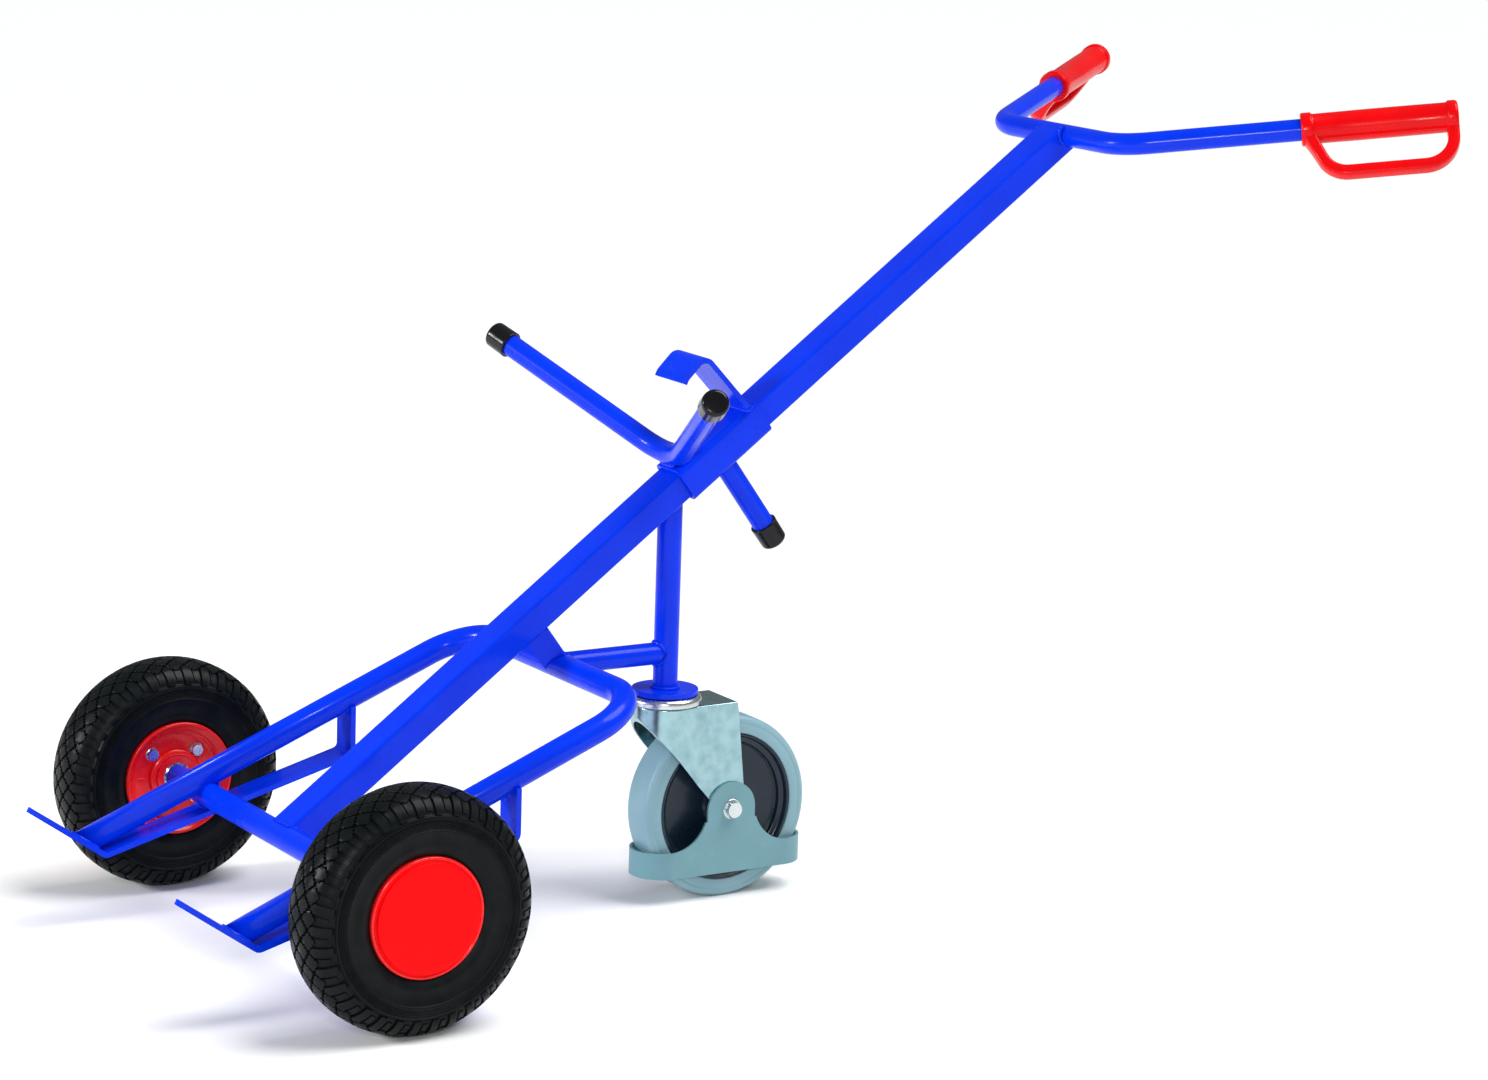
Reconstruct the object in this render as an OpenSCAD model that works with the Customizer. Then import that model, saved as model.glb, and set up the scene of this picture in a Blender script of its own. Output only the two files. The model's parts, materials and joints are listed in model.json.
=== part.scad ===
// Drum hand truck: two pneumatic wheels, a swivel support castor,
// a sliding drum hook with V cradle, and a wide handlebar with guarded grips.
// Millimetres, +Z up, +Y from the toe prongs to the handlebar, +X sideways.
// The origin is on the floor, at the middle of the truck's length and width.

/* [Wheels] */
// Outside diameter of the tyre
tyre_d = 260; // [240:1:300]
// Width of the tyre
tyre_w = 83; // [76:1:92]
// Distance between the middle planes of the two wheels
track = 596; // [560:1:680]
// Diameter of the bead seat of the rim
bead_d = 101.6; // [98:0.2:106]
// Outside diameter of the rim flanges
flange_d = 128; // [120:1:134]
// Sheet thickness of the rim halves
rim_wall = 2.4; // [1.5:0.1:3]
// Distance from the wheel's middle plane to the joint of the two rim halves
rim_joint = 19; // [12:1:22]
// Pitch circle of the rim bolts
rim_bolt_pcd = 76; // [72:1:80]
// Number of rim bolts
rim_bolt_count = 4; // [3:1:6]
// Thread diameter of the rim bolts
rim_bolt_d = 8; // [6:1:8]
// Diameter of the axle shaft
axle_d = 20; // [16:1:22]
// Outside diameter of the wheel bearings
bearing_d = 42; // [38:1:44]
// Width of one wheel bearing
bearing_w = 12; // [10:1:14]
// Length of the wheel hub
hub_len = 62; // [56:1:66]
// Diameter of the snap-on hub cap
cap_d = 123; // [118:1:126]

/* [Frame] */
// Width of the mast tube
mast_w = 42; // [36:1:50]
// Depth of the mast tube
mast_d = 32; // [28:1:40]
// Wall of the mast tube
mast_wall = 2.5; // [2:0.5:4]
// Corner radius of the mast tube
mast_corner = 3; // [2:0.5:5]
// Angle of the mast above the floor
mast_angle = 36.5; // [34:0.5:40]
// Length of the mast from the axle to the handlebar
mast_len = 1218; // [1050:1:1400]
// Height of the axle's middle above the mast's middle line
mast_drop = 4; // [0:0.5:6]
// Diameter of the frame, post and axle tubes
frame_tube_d = 28; // [26:0.5:30]
// Wall of the round tubes
tube_wall = 2.5; // [2:0.5:3.5]
// Distance between the middles of the two legs
leg_spacing = 383; // [340:1:420]
// Angle of the legs above the floor
leg_angle = 22.2; // [20:0.1:24]
// Height of the legs above the axle
leg_rise = 20.6; // [19:0.1:24]
// Distance from the axle to the frame's cross part, along the floor
frame_depth = 332; // [300:1:360]
// Bend radius of the frame tube
frame_bend_r = 62; // [50:1:80]
// Side of the angle bracket between the mast and the frame tube
bracket_leg = 30; // [24:1:34]
// Thickness of the angle bracket
bracket_t = 4; // [3:0.5:5]

/* [Toe strips] */
// Width of the flat bar of the toe strips
strip_w = 35; // [30:1:40]
// Thickness of the flat bar
strip_t = 6; // [5:0.5:8]
// Angle of the flat bar's long run above the floor
strip_angle = 15.2; // [13:0.1:16]
// Distance from the axle forward to the bend of the prong
toe_reach = 126; // [110:1:140]
// Length of the prong
prong_len = 100; // [80:1:120]
// Angle of the prong above the floor
prong_angle = 34.6; // [28:0.1:40]
// Distance from the axle back to the strip's rear post
strip_rear = 172; // [150:1:190]
// Length of the prong's pointed end
point_len = 46; // [30:1:60]
// Width of the prong's blunt tip
point_w = 9; // [6:1:14]

/* [Drum hook and cradle] */
// Clearance between the mast and the sleeve that slides on it
sleeve_gap = 0.8; // [0.5:0.1:0.9]
// Wall of the sleeve
sleeve_wall = 4; // [3:0.5:5]
// Length of the sleeve
sleeve_len = 122; // [100:1:150]
// Distance along the mast from the axle to the lower end of the sleeve
sleeve_start = 592; // [592:1:640]
// Width of the drum hook
hook_w = 60; // [50:1:70]
// Thickness of the drum hook
hook_t = 6; // [5:0.5:8]
// Height of the drum hook above the sleeve
hook_h = 94; // [80:1:110]
// Lean of the hook's stem down the mast
hook_lean = 7; // [0:1:12]
// Length of the hook's lip
hook_lip = 30; // [24:1:40]
// Diameter of the cradle, strut, sleeve handle and handlebar tubes
light_tube_d = 25; // [23:0.5:26]
// Angle of the cradle's arms above the mast's cross direction
cradle_angle = 32; // [25:1:40]
// Half width of the cradle
cradle_half = 243; // [200:1:260]
// Bend radius of the cradle
cradle_bend_r = 80; // [60:1:100]
// Lean of the cradle down the mast
cradle_lean = 5; // [0:1:8]
// Reach of the sleeve handle from the sleeve to its end
stub_reach = 122; // [100:1:140]
// Wall of the plastic end caps
cap_wall = 3; // [2:0.5:4]
// Length of the plastic end caps
cap_len = 29; // [22:1:36]

/* [Handlebar] */
// Distance between the two bends of the handlebar
bar_bend_spacing = 236; // [200:1:280]
// Length of each arm from its bend to the end of the grip
arm_len = 379; // [320:1:400]
// Angle of each arm from straight back
arm_splay = 35.9; // [25:0.1:45]
// Rise of the handlebar's plane above the floor
bar_rise = 9.1; // [0:0.1:15]
// Bend radius of the handlebar
bar_bend_r = 62; // [50:1:80]
// Length of the grip
grip_len = 176; // [150:1:180]
// Diameter of the grip
grip_d = 34; // [31:1:38]
// Diameter of the grip's two collars
collar_d = 38; // [36:1:44]
// Thickness of the grip's collars
collar_t = 13; // [4:0.5:16]
// Distance from the grip's axis to the middle of the finger guard
guard_reach = 58.5; // [50:0.5:64]
// Depth of the guard's bar, in the guard's plane
guard_t = 13.5; // [11:0.5:16]
// Width of the guard's bar, across the guard's plane
guard_w = 18; // [14:1:22]
// Angle by which the guard hangs below the handlebar's plane
guard_drop = 50; // [20:0.5:60]

/* [Castor] */
// Diameter of the castor wheel
castor_d = 210; // [190:1:215]
// Width of the castor wheel's tread
castor_w = 46; // [40:1:50]
// Thickness of the castor's rubber tread
tread_t = 20; // [16:1:24]
// Distance from the axle to the castor's swivel axis
swivel_back = 472.5; // [460:0.5:500]
// Distance from the swivel axis back to the castor wheel's axle
trail = 72; // [60:1:80]
// Height of the castor's round mounting plate above the floor
castor_h = 240; // [238:1:250]
// Diameter of the round mounting plate
plate_d = 75; // [66:1:80]
// Thickness of the mounting plate
plate_t = 6; // [5:0.5:8]
// Sheet thickness of the fork
fork_wall = 4; // [3:0.5:5]
// Clearance between the castor wheel's hub and each side of the fork
fork_gap = 0.5; // [0.3:0.1:0.8]
// Diameter of the castor's axle bolt
castor_bolt_d = 12; // [10:1:12]
// Length of the toe guard, along the castor wheel
toe_guard_len = 214; // [212:1:220]
// Height of the toe guard's band
toe_guard_h = 30; // [24:1:36]
// Height of the toe guard's lower edge above the floor
toe_guard_z = 31; // [26:1:36]
// Sheet thickness of the toe guard
toe_guard_wall = 3; // [2:0.5:4]

/* [Hidden] */
$fn = 64;

blue = [0.02, 0.20, 0.85];
red = [0.88, 0.05, 0.04];
zinc = [0.72, 0.76, 0.78];
grey = [0.50, 0.64, 0.68];
black = [0.03, 0.03, 0.03];
navy = [0.10, 0.12, 0.17];
eps = 1;                          // how far a cut runs past the face that it opens
weld_gap = 0.2;                   // root gap between pieces that are welded together
press_gap = 0.1;                  // gap between a plastic cap or grip and its tube
run_gap = 0.05;                   // radial running clearance of a bearing or bush
bend_lap = 0.05;                  // how far a straight laps into a bend
bend_draw = 0.999;                // a bend's section, as a share of the straight's

axle_z = tyre_d / 2;
frame_r = frame_tube_d / 2;
light_r = light_tube_d / 2;
leg_x = leg_spacing / 2;

// The mast's own coordinates: s runs up the mast from the axle, n is square to its middle line.
mast_top_n = mast_d / 2;
mast_under_n = -mast_d / 2;

// The frame tube's cross part
cross_z = axle_z + leg_rise + frame_depth * tan(leg_angle);

// The flat bar's middle line: its long run passes just under the axle tube.
strip_axle_gap = frame_r + weld_gap + strip_t / 2;
function strip_z(y) = axle_z - strip_axle_gap / cos(strip_angle) + y * tan(strip_angle);
toe_bend = [-toe_reach, strip_z(-toe_reach)];
rear_bend = [strip_rear, strip_z(strip_rear)];
prong_tip = toe_bend + prong_len * [-cos(prong_angle), sin(prong_angle)];
strip_front_y = prong_tip[0] - strip_t / 2 * sin(prong_angle);

// The handlebar's middle
bar_y = mast_len * cos(mast_angle) + mast_drop * sin(mast_angle);
bar_z = axle_z + mast_len * sin(mast_angle) - mast_drop * cos(mast_angle);
arm_dir = [sin(arm_splay), cos(arm_splay) * cos(bar_rise), cos(arm_splay) * sin(bar_rise)];
collar_back = collar_d / 2 * sqrt(1 - pow(arm_dir[1], 2));
handle_back_y = bar_y + arm_len * arm_dir[1] + collar_back;

// The origin is halfway along the truck's length.
middle_y = (strip_front_y + handle_back_y) / 2;

// ---------- shared shapes ----------

// The truck stands with its wheel axle above y = -middle_y.
module placed() { translate([0, -middle_y, 0]) children(); }

// Places a piece in the mast's coordinates: x, s up the mast, n away from its middle line.
module on_mast(s = 0, n = 0) {
    translate([0, 0, axle_z]) rotate([mast_angle, 0, 0]) translate([0, s, n - mast_drop]) children();
}

// Places a piece in the vertical plane through the truck's length: x is back, y is up.
module upright() { rotate([90, 0, 90]) children(); }

// Runs a flat section along straights and arcs. Each move is [length, turn, bend radius];
// the run starts at the origin along +X, and a positive turn bends towards +Y.
// A straight laps a little way into a bend, whose section is a hair smaller, as on a drawn tube.
module bent(moves, i = 0) {
    length = moves[i][0];
    turn = moves[i][1];
    bend_r = moves[i][2];
    lap_in = i == 0 ? 0 : bend_lap;
    lap_out = turn == 0 ? 0 : bend_lap;
    translate([-lap_in, 0, 0]) upright() linear_extrude(lap_in + length + lap_out) children();
    if (turn != 0) translate([length, 0, 0]) {
        mirror([0, turn < 0 ? 1 : 0, 0]) translate([0, bend_r, 0]) rotate([0, 0, -90])
            rotate_extrude(angle = abs(turn)) translate([bend_r, 0]) scale(bend_draw) children();
        if (i < len(moves) - 1)
            translate([bend_r * sin(abs(turn)), sign(turn) * bend_r * (1 - cos(turn)), 0])
                rotate([0, 0, turn]) bent(moves, i + 1) children();
    }
}

// The same moves with both ends made longer, so that a bore opens through them.
function longer(moves) = [for (i = [0:len(moves) - 1])
    [moves[i][0] + (i == 0 ? eps : 0) + (i == len(moves) - 1 ? eps : 0), moves[i][1], moves[i][2]]];

module bent_tube(moves, d, wall) {
    difference() {
        bent(moves) circle(d = d);
        translate([-eps, 0, 0]) bent(longer(moves)) circle(d = d - 2 * wall);
    }
}

module pipe(d, wall, h) {
    difference() {
        cylinder(d = d, h = h);
        translate([0, 0, -eps]) cylinder(d = d - 2 * wall, h = h + 2 * eps);
    }
}

module ring(r_out, r_in, h) {
    difference() {
        cylinder(r = r_out, h = h);
        translate([0, 0, -eps]) cylinder(r = r_in, h = h + 2 * eps);
    }
}

module rounded_rect(w, d, r) {
    square([w - 2 * r, d], center = true);
    square([w, d - 2 * r], center = true);
    for (x = [-1, 1], y = [-1, 1]) translate([x * (w / 2 - r), y * (d / 2 - r)]) circle(r = r);
}

module hex_prism(across, h) { cylinder(d = across / cos(30), h = h, $fn = 6); }

// Cuts the axle tube's outside, with its root gap, out of a piece that is welded round it.
module axle_cope() {
    translate([-track / 2, 0, axle_z]) rotate([0, 90, 0]) cylinder(r = frame_r + weld_gap, h = track);
}

// ---------- frame ----------

module mast() color(blue) placed() {
    difference() {
        on_mast() rotate([-90, 0, 0]) linear_extrude(mast_len) difference() {
            rounded_rect(mast_w, mast_d, mast_corner);
            square([mast_w - 2 * mast_wall, mast_d - 2 * mast_wall], center = true);
        }
        axle_cope();
        translate([-track / 2, bar_y, bar_z]) rotate([0, 90, 0])
            cylinder(r = light_r + weld_gap, h = track);
    }
}

// The axle tube runs from hub to hub, and the legs and the mast are coped onto it.
axle_tube_half = track / 2 - hub_len / 2 - 1;
module axle_tube() color(blue) placed() {
    translate([-axle_tube_half, 0, axle_z]) rotate([0, 90, 0])
        ring(frame_r, axle_d / 2 + run_gap, 2 * axle_tube_half);
}

axle_half = track / 2 + hub_len / 2 + 6.5;
pin_x = axle_half - 3.5;
module axle_shaft() color(zinc) placed() {
    difference() {
        translate([-axle_half, 0, axle_z]) rotate([0, 90, 0]) cylinder(d = axle_d, h = 2 * axle_half);
        for (side = [-1, 1]) translate([side * pin_x, 0, axle_z - axle_d / 2 - eps])
            cylinder(d = pin_d + 2 * run_gap, h = axle_d + 2 * eps);
    }
}

// The legs start at the prongs and run up to the cross part in one bent tube.
leg_len = (frame_depth + toe_reach + 40) / cos(leg_angle) - frame_bend_r;
cross_len = leg_spacing - 2 * frame_bend_r;
frame_moves = [[leg_len, -90, frame_bend_r], [cross_len, -90, frame_bend_r], [leg_len, 0, 0]];
module u_frame() color(blue) placed() {
    difference() {
        translate([-leg_x, frame_depth, cross_z]) rotate([leg_angle, 0, 0])
            translate([0, -leg_len - frame_bend_r, 0]) rotate([0, 0, 90])
                bent_tube(frame_moves, frame_tube_d, tube_wall);
        axle_cope();
        // The legs end on the upper faces of the prongs.
        translate([-track / 2, toe_bend[0], toe_bend[1]]) rotate([-prong_angle, 0, 0])
            translate([0, -2 * prong_len, -2 * prong_len])
                cube([track, 2 * prong_len + strip_t, 2 * prong_len + strip_t / 2 + weld_gap]);
    }
}

// One flat bar: the pointed prong, the run under the axle tube, and the rear post up to the leg.
toe_bend_r = 8;
rear_bend_r = 9;
toe_turn = prong_angle + strip_angle;
rear_turn = 90 - strip_angle;
toe_tangent = toe_bend_r * tan(toe_turn / 2);
rear_tangent = rear_bend_r * tan(rear_turn / 2);
post_len = axle_z + leg_rise + strip_rear * tan(leg_angle) - frame_r / 2 - rear_bend[1];
strip_moves = [
    [prong_len - toe_tangent, toe_turn, toe_bend_r],
    [norm(rear_bend - toe_bend) - toe_tangent - rear_tangent, rear_turn, rear_bend_r],
    [post_len - rear_tangent, 0, 0]
];
module toe_strip(side) color(blue) placed() translate([side * leg_x, 0, 0]) {
    difference() {
        upright() translate(prong_tip) rotate([0, 0, -prong_angle])
            bent(strip_moves) square([strip_t, strip_w], center = true);
        for (edge = [-1, 1]) translate([0, strip_front_y - eps, 0]) linear_extrude(2 * tyre_d)
            polygon([
                [edge * point_w / 2, 0], [edge * strip_w / 2, point_len],
                [edge * strip_w, point_len], [edge * strip_w, 0]
            ]);
        translate([0, 0, axle_z + leg_rise]) rotate([leg_angle - 90, 0, 0])
            cylinder(r = frame_r + weld_gap, h = frame_depth);
    }
}
module toe_strip_left() { toe_strip(-1); }
module toe_strip_right() { toe_strip(1); }

// A short piece of angle stands between the mast and the frame's cross part.
bracket_s = frame_depth * cos(mast_angle) + (cross_z - axle_z) * sin(mast_angle);
bracket_n = -frame_depth * sin(mast_angle) + (cross_z - axle_z) * cos(mast_angle) + mast_drop;
module mast_bracket() color(blue) placed() {
    difference() {
        on_mast(bracket_s - frame_r, bracket_n) rotate([0, 0, 45])
            linear_extrude(mast_under_n - weld_gap - bracket_n) {
                square([bracket_leg, bracket_t]);
                square([bracket_t, bracket_leg]);
            }
        translate([-leg_x, frame_depth, cross_z]) rotate([0, 90, 0])
            cylinder(r = frame_r + weld_gap, h = leg_spacing);
    }
}

// ---------- castor support ----------

plate_top = castor_h + plate_t;
module castor_post() color(blue) placed() {
    difference() {
        translate([0, swivel_back, plate_top + weld_gap]) pipe(frame_tube_d, tube_wall, mast_len / 2);
        on_mast(0, mast_under_n - weld_gap) translate([-mast_len, -mast_len, 0]) cube(3 * mast_len);
    }
}

module castor_strut() color(blue) placed() {
    difference() {
        translate([0, frame_depth, cross_z]) rotate([-90, 0, 0])
            pipe(light_tube_d, tube_wall, swivel_back - frame_depth);
        translate([-leg_x, frame_depth, cross_z]) rotate([0, 90, 0])
            cylinder(r = frame_r + weld_gap, h = leg_spacing);
        translate([0, swivel_back, 0]) cylinder(r = frame_r + weld_gap, h = 2 * cross_z);
    }
}

stud_d = 12;
stud_nut_h = 14;
stud_nut_across = 18;
module castor_plate() color(blue) placed() translate([0, swivel_back, castor_h])
    ring(plate_d / 2, stud_d / 2 + press_gap, plate_t);

// The castor's stud screws into this nut, which is welded inside the foot of the post.
module stud_nut() color(zinc) placed() translate([0, swivel_back, plate_top + weld_gap])
    difference() {
        hex_prism(stud_nut_across, stud_nut_h);
        translate([0, 0, -eps]) cylinder(d = stud_d + 2 * press_gap, h = stud_nut_h + 2 * eps);
    }

// ---------- handlebar ----------

bar_turn = 90 - arm_splay;
bar_tangent = bar_bend_r * tan(bar_turn / 2);
tube_inset = 4;                   // thickness of the grip's closed end
bar_moves = [
    [arm_len - tube_inset - press_gap - bar_tangent, bar_turn, bar_bend_r],
    [bar_bend_spacing - 2 * bar_tangent, bar_turn, bar_bend_r],
    [arm_len - tube_inset - press_gap - bar_tangent, 0, 0]
];

// The handlebar's plane: x is sideways and y runs back and a little up.
module in_bar_plane() { placed() translate([0, bar_y, bar_z]) rotate([bar_rise, 0, 0]) children(); }

module handlebar() color(blue) in_bar_plane() {
    translate([-bar_bend_spacing / 2, 0, 0]) rotate([0, 0, 90 + arm_splay])
        translate([arm_len - tube_inset - press_gap, 0, 0]) rotate([0, 0, 180])
            bent_tube(bar_moves, light_tube_d, tube_wall);
}

// The guard leaves the front collar on a slant, runs along the grip and turns square back into it.
guard_root = grip_d / 2 - 3;      // where the guard's ends are rooted, from the grip's axis
guard_slant = 66;
guard_front_r = 30;
guard_back_r = 34;
guard_slant_len = (guard_reach - guard_root - guard_front_r * (1 - cos(guard_slant))) / sin(guard_slant);
guard_start = [collar_t - 3, guard_root];
guard_inset = 0.6;                // how far the guard's back stands inside the grip's end
guard_front = [guard_start.x + guard_slant_len * cos(guard_slant) + guard_front_r * sin(guard_slant),
    guard_reach - guard_front_r];
guard_back = [grip_len - guard_t / 2 - guard_inset - guard_back_r, guard_reach - guard_back_r];
guard_side = guard_t / 2 * [-sin(guard_slant), cos(guard_slant)];
arc_steps = 9;
function arc(centre, r, from, to) = [
    for (i = [0 : arc_steps]) let (a = from + (to - from) * i / arc_steps) centre + r * [cos(a), sin(a)]
];
guard_outline = concat(
    [guard_start + guard_side],
    arc(guard_front, guard_front_r + guard_t / 2, 90 + guard_slant, 90),
    arc(guard_back, guard_back_r + guard_t / 2, 90, 0),
    [[guard_back.x + guard_back_r + guard_t / 2, guard_root]],
    [[guard_back.x + guard_back_r - guard_t / 2, guard_root]],
    arc(guard_back, guard_back_r - guard_t / 2, 0, 90),
    arc(guard_front, guard_front_r - guard_t / 2, 90, 90 + guard_slant),
    [guard_start - guard_side]
);
module grip(side) color(red) mirror([side < 0 ? 1 : 0, 0, 0]) in_bar_plane()
    translate([bar_bend_spacing / 2, 0, 0]) rotate([0, 0, 90 - arm_splay])
        translate([arm_len - grip_len, 0, 0]) rotate([180 + guard_drop, 0, 0]) {
            difference() {
                union() {
                    rotate([0, 90, 0]) cylinder(d = grip_d, h = grip_len);
                    for (x = [0, grip_len - collar_t]) translate([x, 0, 0]) rotate([0, 90, 0])
                        cylinder(d = collar_d, h = collar_t);
                    linear_extrude(guard_w, center = true) polygon(guard_outline);
                }
                translate([-eps, 0, 0]) rotate([0, 90, 0])
                    cylinder(r = light_r + press_gap, h = grip_len - tube_inset + eps);
            }
        }
module grip_left() { grip(-1); }
module grip_right() { grip(1); }

// ---------- sliding drum hook ----------

sleeve_w = mast_w + 2 * (sleeve_gap + sleeve_wall);
sleeve_d = mast_d + 2 * (sleeve_gap + sleeve_wall);
sleeve_top_n = sleeve_d / 2;
module hook_sleeve() color(blue) placed() on_mast(sleeve_start) rotate([-90, 0, 0])
    linear_extrude(sleeve_len) difference() {
        rounded_rect(sleeve_w, sleeve_d, mast_corner + sleeve_wall);
        rounded_rect(mast_w + 2 * sleeve_gap, mast_d + 2 * sleeve_gap, mast_corner);
    }

// A flat bar stands on the sleeve's upper end and bends over, down the mast.
hook_bend_r = 11;
hook_turn = 92;
hook_curl = 22;
hook_curl_r = 16;
hook_foot_s = sleeve_start + sleeve_len - 12;
hook_moves = [
    [hook_h - hook_bend_r - hook_t, hook_turn, hook_bend_r],
    [hook_lip - hook_bend_r, hook_curl, hook_curl_r],
    [3, 0, 0]
];
module drum_hook() color(blue) placed() difference() {
    on_mast(hook_foot_s, sleeve_top_n - eps) upright() rotate([0, 0, 90 + hook_lean])
        bent(hook_moves) square([hook_t, hook_w], center = true);
    on_mast(0, sleeve_top_n + weld_gap - 10) translate([-hook_w, 0, 0]) cube([2 * hook_w, mast_len, 10]);
}

// The V cradle is one bent tube on the sleeve's lower end.
cradle_turn = 2 * cradle_angle;
cradle_tangent = cradle_bend_r * tan(cradle_angle);
cradle_arm = cradle_half / cos(cradle_angle);
cradle_sag = cradle_bend_r * (1 / cos(cradle_angle) - 1);
cradle_s = sleeve_start + light_r + 1;
cradle_n = sleeve_top_n + weld_gap + light_r - cradle_sag;
cradle_tube_arm = cradle_arm - cap_wall - press_gap;
cradle_moves = [
    [cradle_tube_arm - cradle_tangent, cradle_turn, cradle_bend_r],
    [cradle_tube_arm - cradle_tangent, 0, 0]
];

// The cradle's plane: x is sideways and y stands up from the mast, leaning down it.
module in_cradle_plane() { placed() on_mast(cradle_s, cradle_n) rotate([90 + cradle_lean, 0, 0]) children(); }

module drum_cradle() color(blue) difference() {
    in_cradle_plane() rotate([0, 0, 180 - cradle_angle]) translate([cradle_tube_arm, 0, 0])
        rotate([0, 0, 180]) bent_tube(cradle_moves, light_tube_d, tube_wall);
    placed() on_mast(0, sleeve_top_n + weld_gap - 10) translate([-hook_w, 0, 0])
        cube([2 * hook_w, mast_len, 10]);
}

// A plastic cap that closes a tube's end; its outer face is at the origin, and the tube leaves along +X.
cap_round = 3;
module end_cap() {
    r = light_r + cap_wall;
    rotate([0, 90, 0]) rotate_extrude() difference() {
        union() {
            square([r - cap_round, cap_len]);
            translate([0, cap_round]) square([r, cap_len - cap_round]);
            translate([r - cap_round, cap_round]) circle(r = cap_round);
        }
        translate([-r, 0]) square([r, cap_len]);
        translate([-eps, cap_wall]) square([light_r + press_gap + eps, cap_len]);
    }
}
module cradle_cap(side) color(black) in_cradle_plane() rotate([0, 0, side > 0 ? cradle_angle : 180 - cradle_angle])
    translate([cradle_arm, 0, 0]) rotate([0, 0, 180]) end_cap();
module cradle_cap_left() { cradle_cap(-1); }
module cradle_cap_right() { cradle_cap(1); }

stub_s = sleeve_start + sleeve_len / 2;
module sleeve_handle() color(blue) placed() on_mast(stub_s, -sleeve_top_n - stub_reach + cap_wall + press_gap)
    pipe(light_tube_d, tube_wall, stub_reach - cap_wall - press_gap - weld_gap);
module sleeve_handle_cap() color(black) placed() on_mast(stub_s, -sleeve_top_n - stub_reach)
    rotate([0, -90, 0]) end_cap();

// ---------- pneumatic wheels ----------

// A wheel's own coordinates: z runs outboard along the axle from the wheel's middle plane.
module on_wheel(side) {
    placed() translate([side * track / 2, 0, axle_z]) rotate([0, side * 90, 0]) children();
}

// Points of a rounded tyre section of the given half width and half height, at radius mid_r.
section_power = 2.5;
section_step = 7.5;
function powered(v) = sign(v) * pow(abs(v), 2 / section_power);
function tyre_section(half_w, half_h, mid_r) = [
    for (a = [0:section_step:360 - section_step]) [mid_r + half_h * powered(sin(a)), half_w * powered(cos(a))]
];
bead_r = bead_d / 2;
flange_r = flange_d / 2;
section_mid = (tyre_d / 2 + bead_r) / 2;
section_half = (tyre_d / 2 - bead_r) / 2;
tread_wall = 9;
side_wall = 5;
bead_gap = 0.3;                   // between the tyre's bead and the rim's bead seat
bead_open = 20;                   // half width of the gap between the tyre's two beads
tube_gap = 0.4;                   // between the inner tube and the tyre's inside
module tyre(side) color(black) on_wheel(side) rotate_extrude($fn = 96) difference() {
    polygon(tyre_section(tyre_w / 2, section_half, section_mid));
    polygon(tyre_section(tyre_w / 2 - side_wall, section_half - tread_wall, section_mid));
    translate([0, -tyre_w]) square([bead_r + bead_gap, 2 * tyre_w]);
    translate([0, -bead_open]) square([section_mid, 2 * bead_open]);
    for (end = [-tyre_w, seat_half - bead_gap]) translate([0, end])
        square([flange_r + bead_gap, tyre_w - seat_half + bead_gap]);
}
module tyre_left() { tyre(-1); }
module tyre_right() { tyre(1); }

tube_half_w = tyre_w / 2 - side_wall - tube_gap;
tube_half_h = section_half - tread_wall - tube_gap;
tube_skin = 2;
module inner_tube(side) color(black) on_wheel(side) rotate_extrude() difference() {
    polygon(tyre_section(tube_half_w, tube_half_h, section_mid));
    polygon(tyre_section(tube_half_w - tube_skin, tube_half_h - tube_skin, section_mid));
}
module inner_tube_left() { inner_tube(-1); }
module inner_tube_right() { inner_tube(1); }

// The rim is two pressed halves bolted together; the outer one holds the well.
hub_r = bearing_d / 2 + 3;
seat_half = 31;                   // half width between the rim's flanges
lip_w = 5;                        // how far the flange's rolled edge stands out
lip_t = 3.5;
well_r = bead_r - rim_wall;
module rim_flange() {
    translate([0, 0, seat_half]) ring(flange_r, well_r, rim_wall);
    translate([0, 0, seat_half + rim_wall - eps]) ring(flange_r, flange_r - lip_t, lip_w + eps);
}
module rim_bolt_holes() {
    for (i = [0:rim_bolt_count - 1]) rotate([0, 0, 45 + i * 360 / rim_bolt_count])
        translate([rim_bolt_pcd / 2, 0, -rim_joint - 2 * rim_wall]) children();
}
valve_z = 6;
valve_d = 8;
valve_bend_r = 40;                // radius at which the valve's stem runs outboard
module rim_outer(side) color(red) on_wheel(side) difference() {
    union() {
        rim_flange();
        translate([0, 0, -rim_joint]) {
            ring(bead_r, well_r, rim_joint + seat_half + eps);
            ring(bead_r, hub_r + press_gap, rim_wall);
        }
    }
    rim_bolt_holes() cylinder(d = rim_bolt_d + 2 * press_gap, h = 4 * rim_wall);
    translate([0, 0, valve_z]) rotate([0, 90, 0]) cylinder(d = valve_d + 2 * press_gap, h = tyre_d / 2);
}
module rim_outer_left() { rim_outer(-1); }
module rim_outer_right() { rim_outer(1); }

module rim_inner(side) color(red) on_wheel(side) difference() {
    union() {
        mirror([0, 0, 1]) rim_flange();
        translate([0, 0, -seat_half - eps])
            ring(bead_r, well_r, seat_half + eps - rim_joint - press_gap);
        translate([0, 0, -rim_joint - press_gap - rim_wall]) ring(bead_r, hub_r + press_gap, rim_wall);
    }
    rim_bolt_holes() cylinder(d = rim_bolt_d + 2 * press_gap, h = 4 * rim_wall);
}
module rim_inner_left() { rim_inner(-1); }
module rim_inner_right() { rim_inner(1); }

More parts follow.
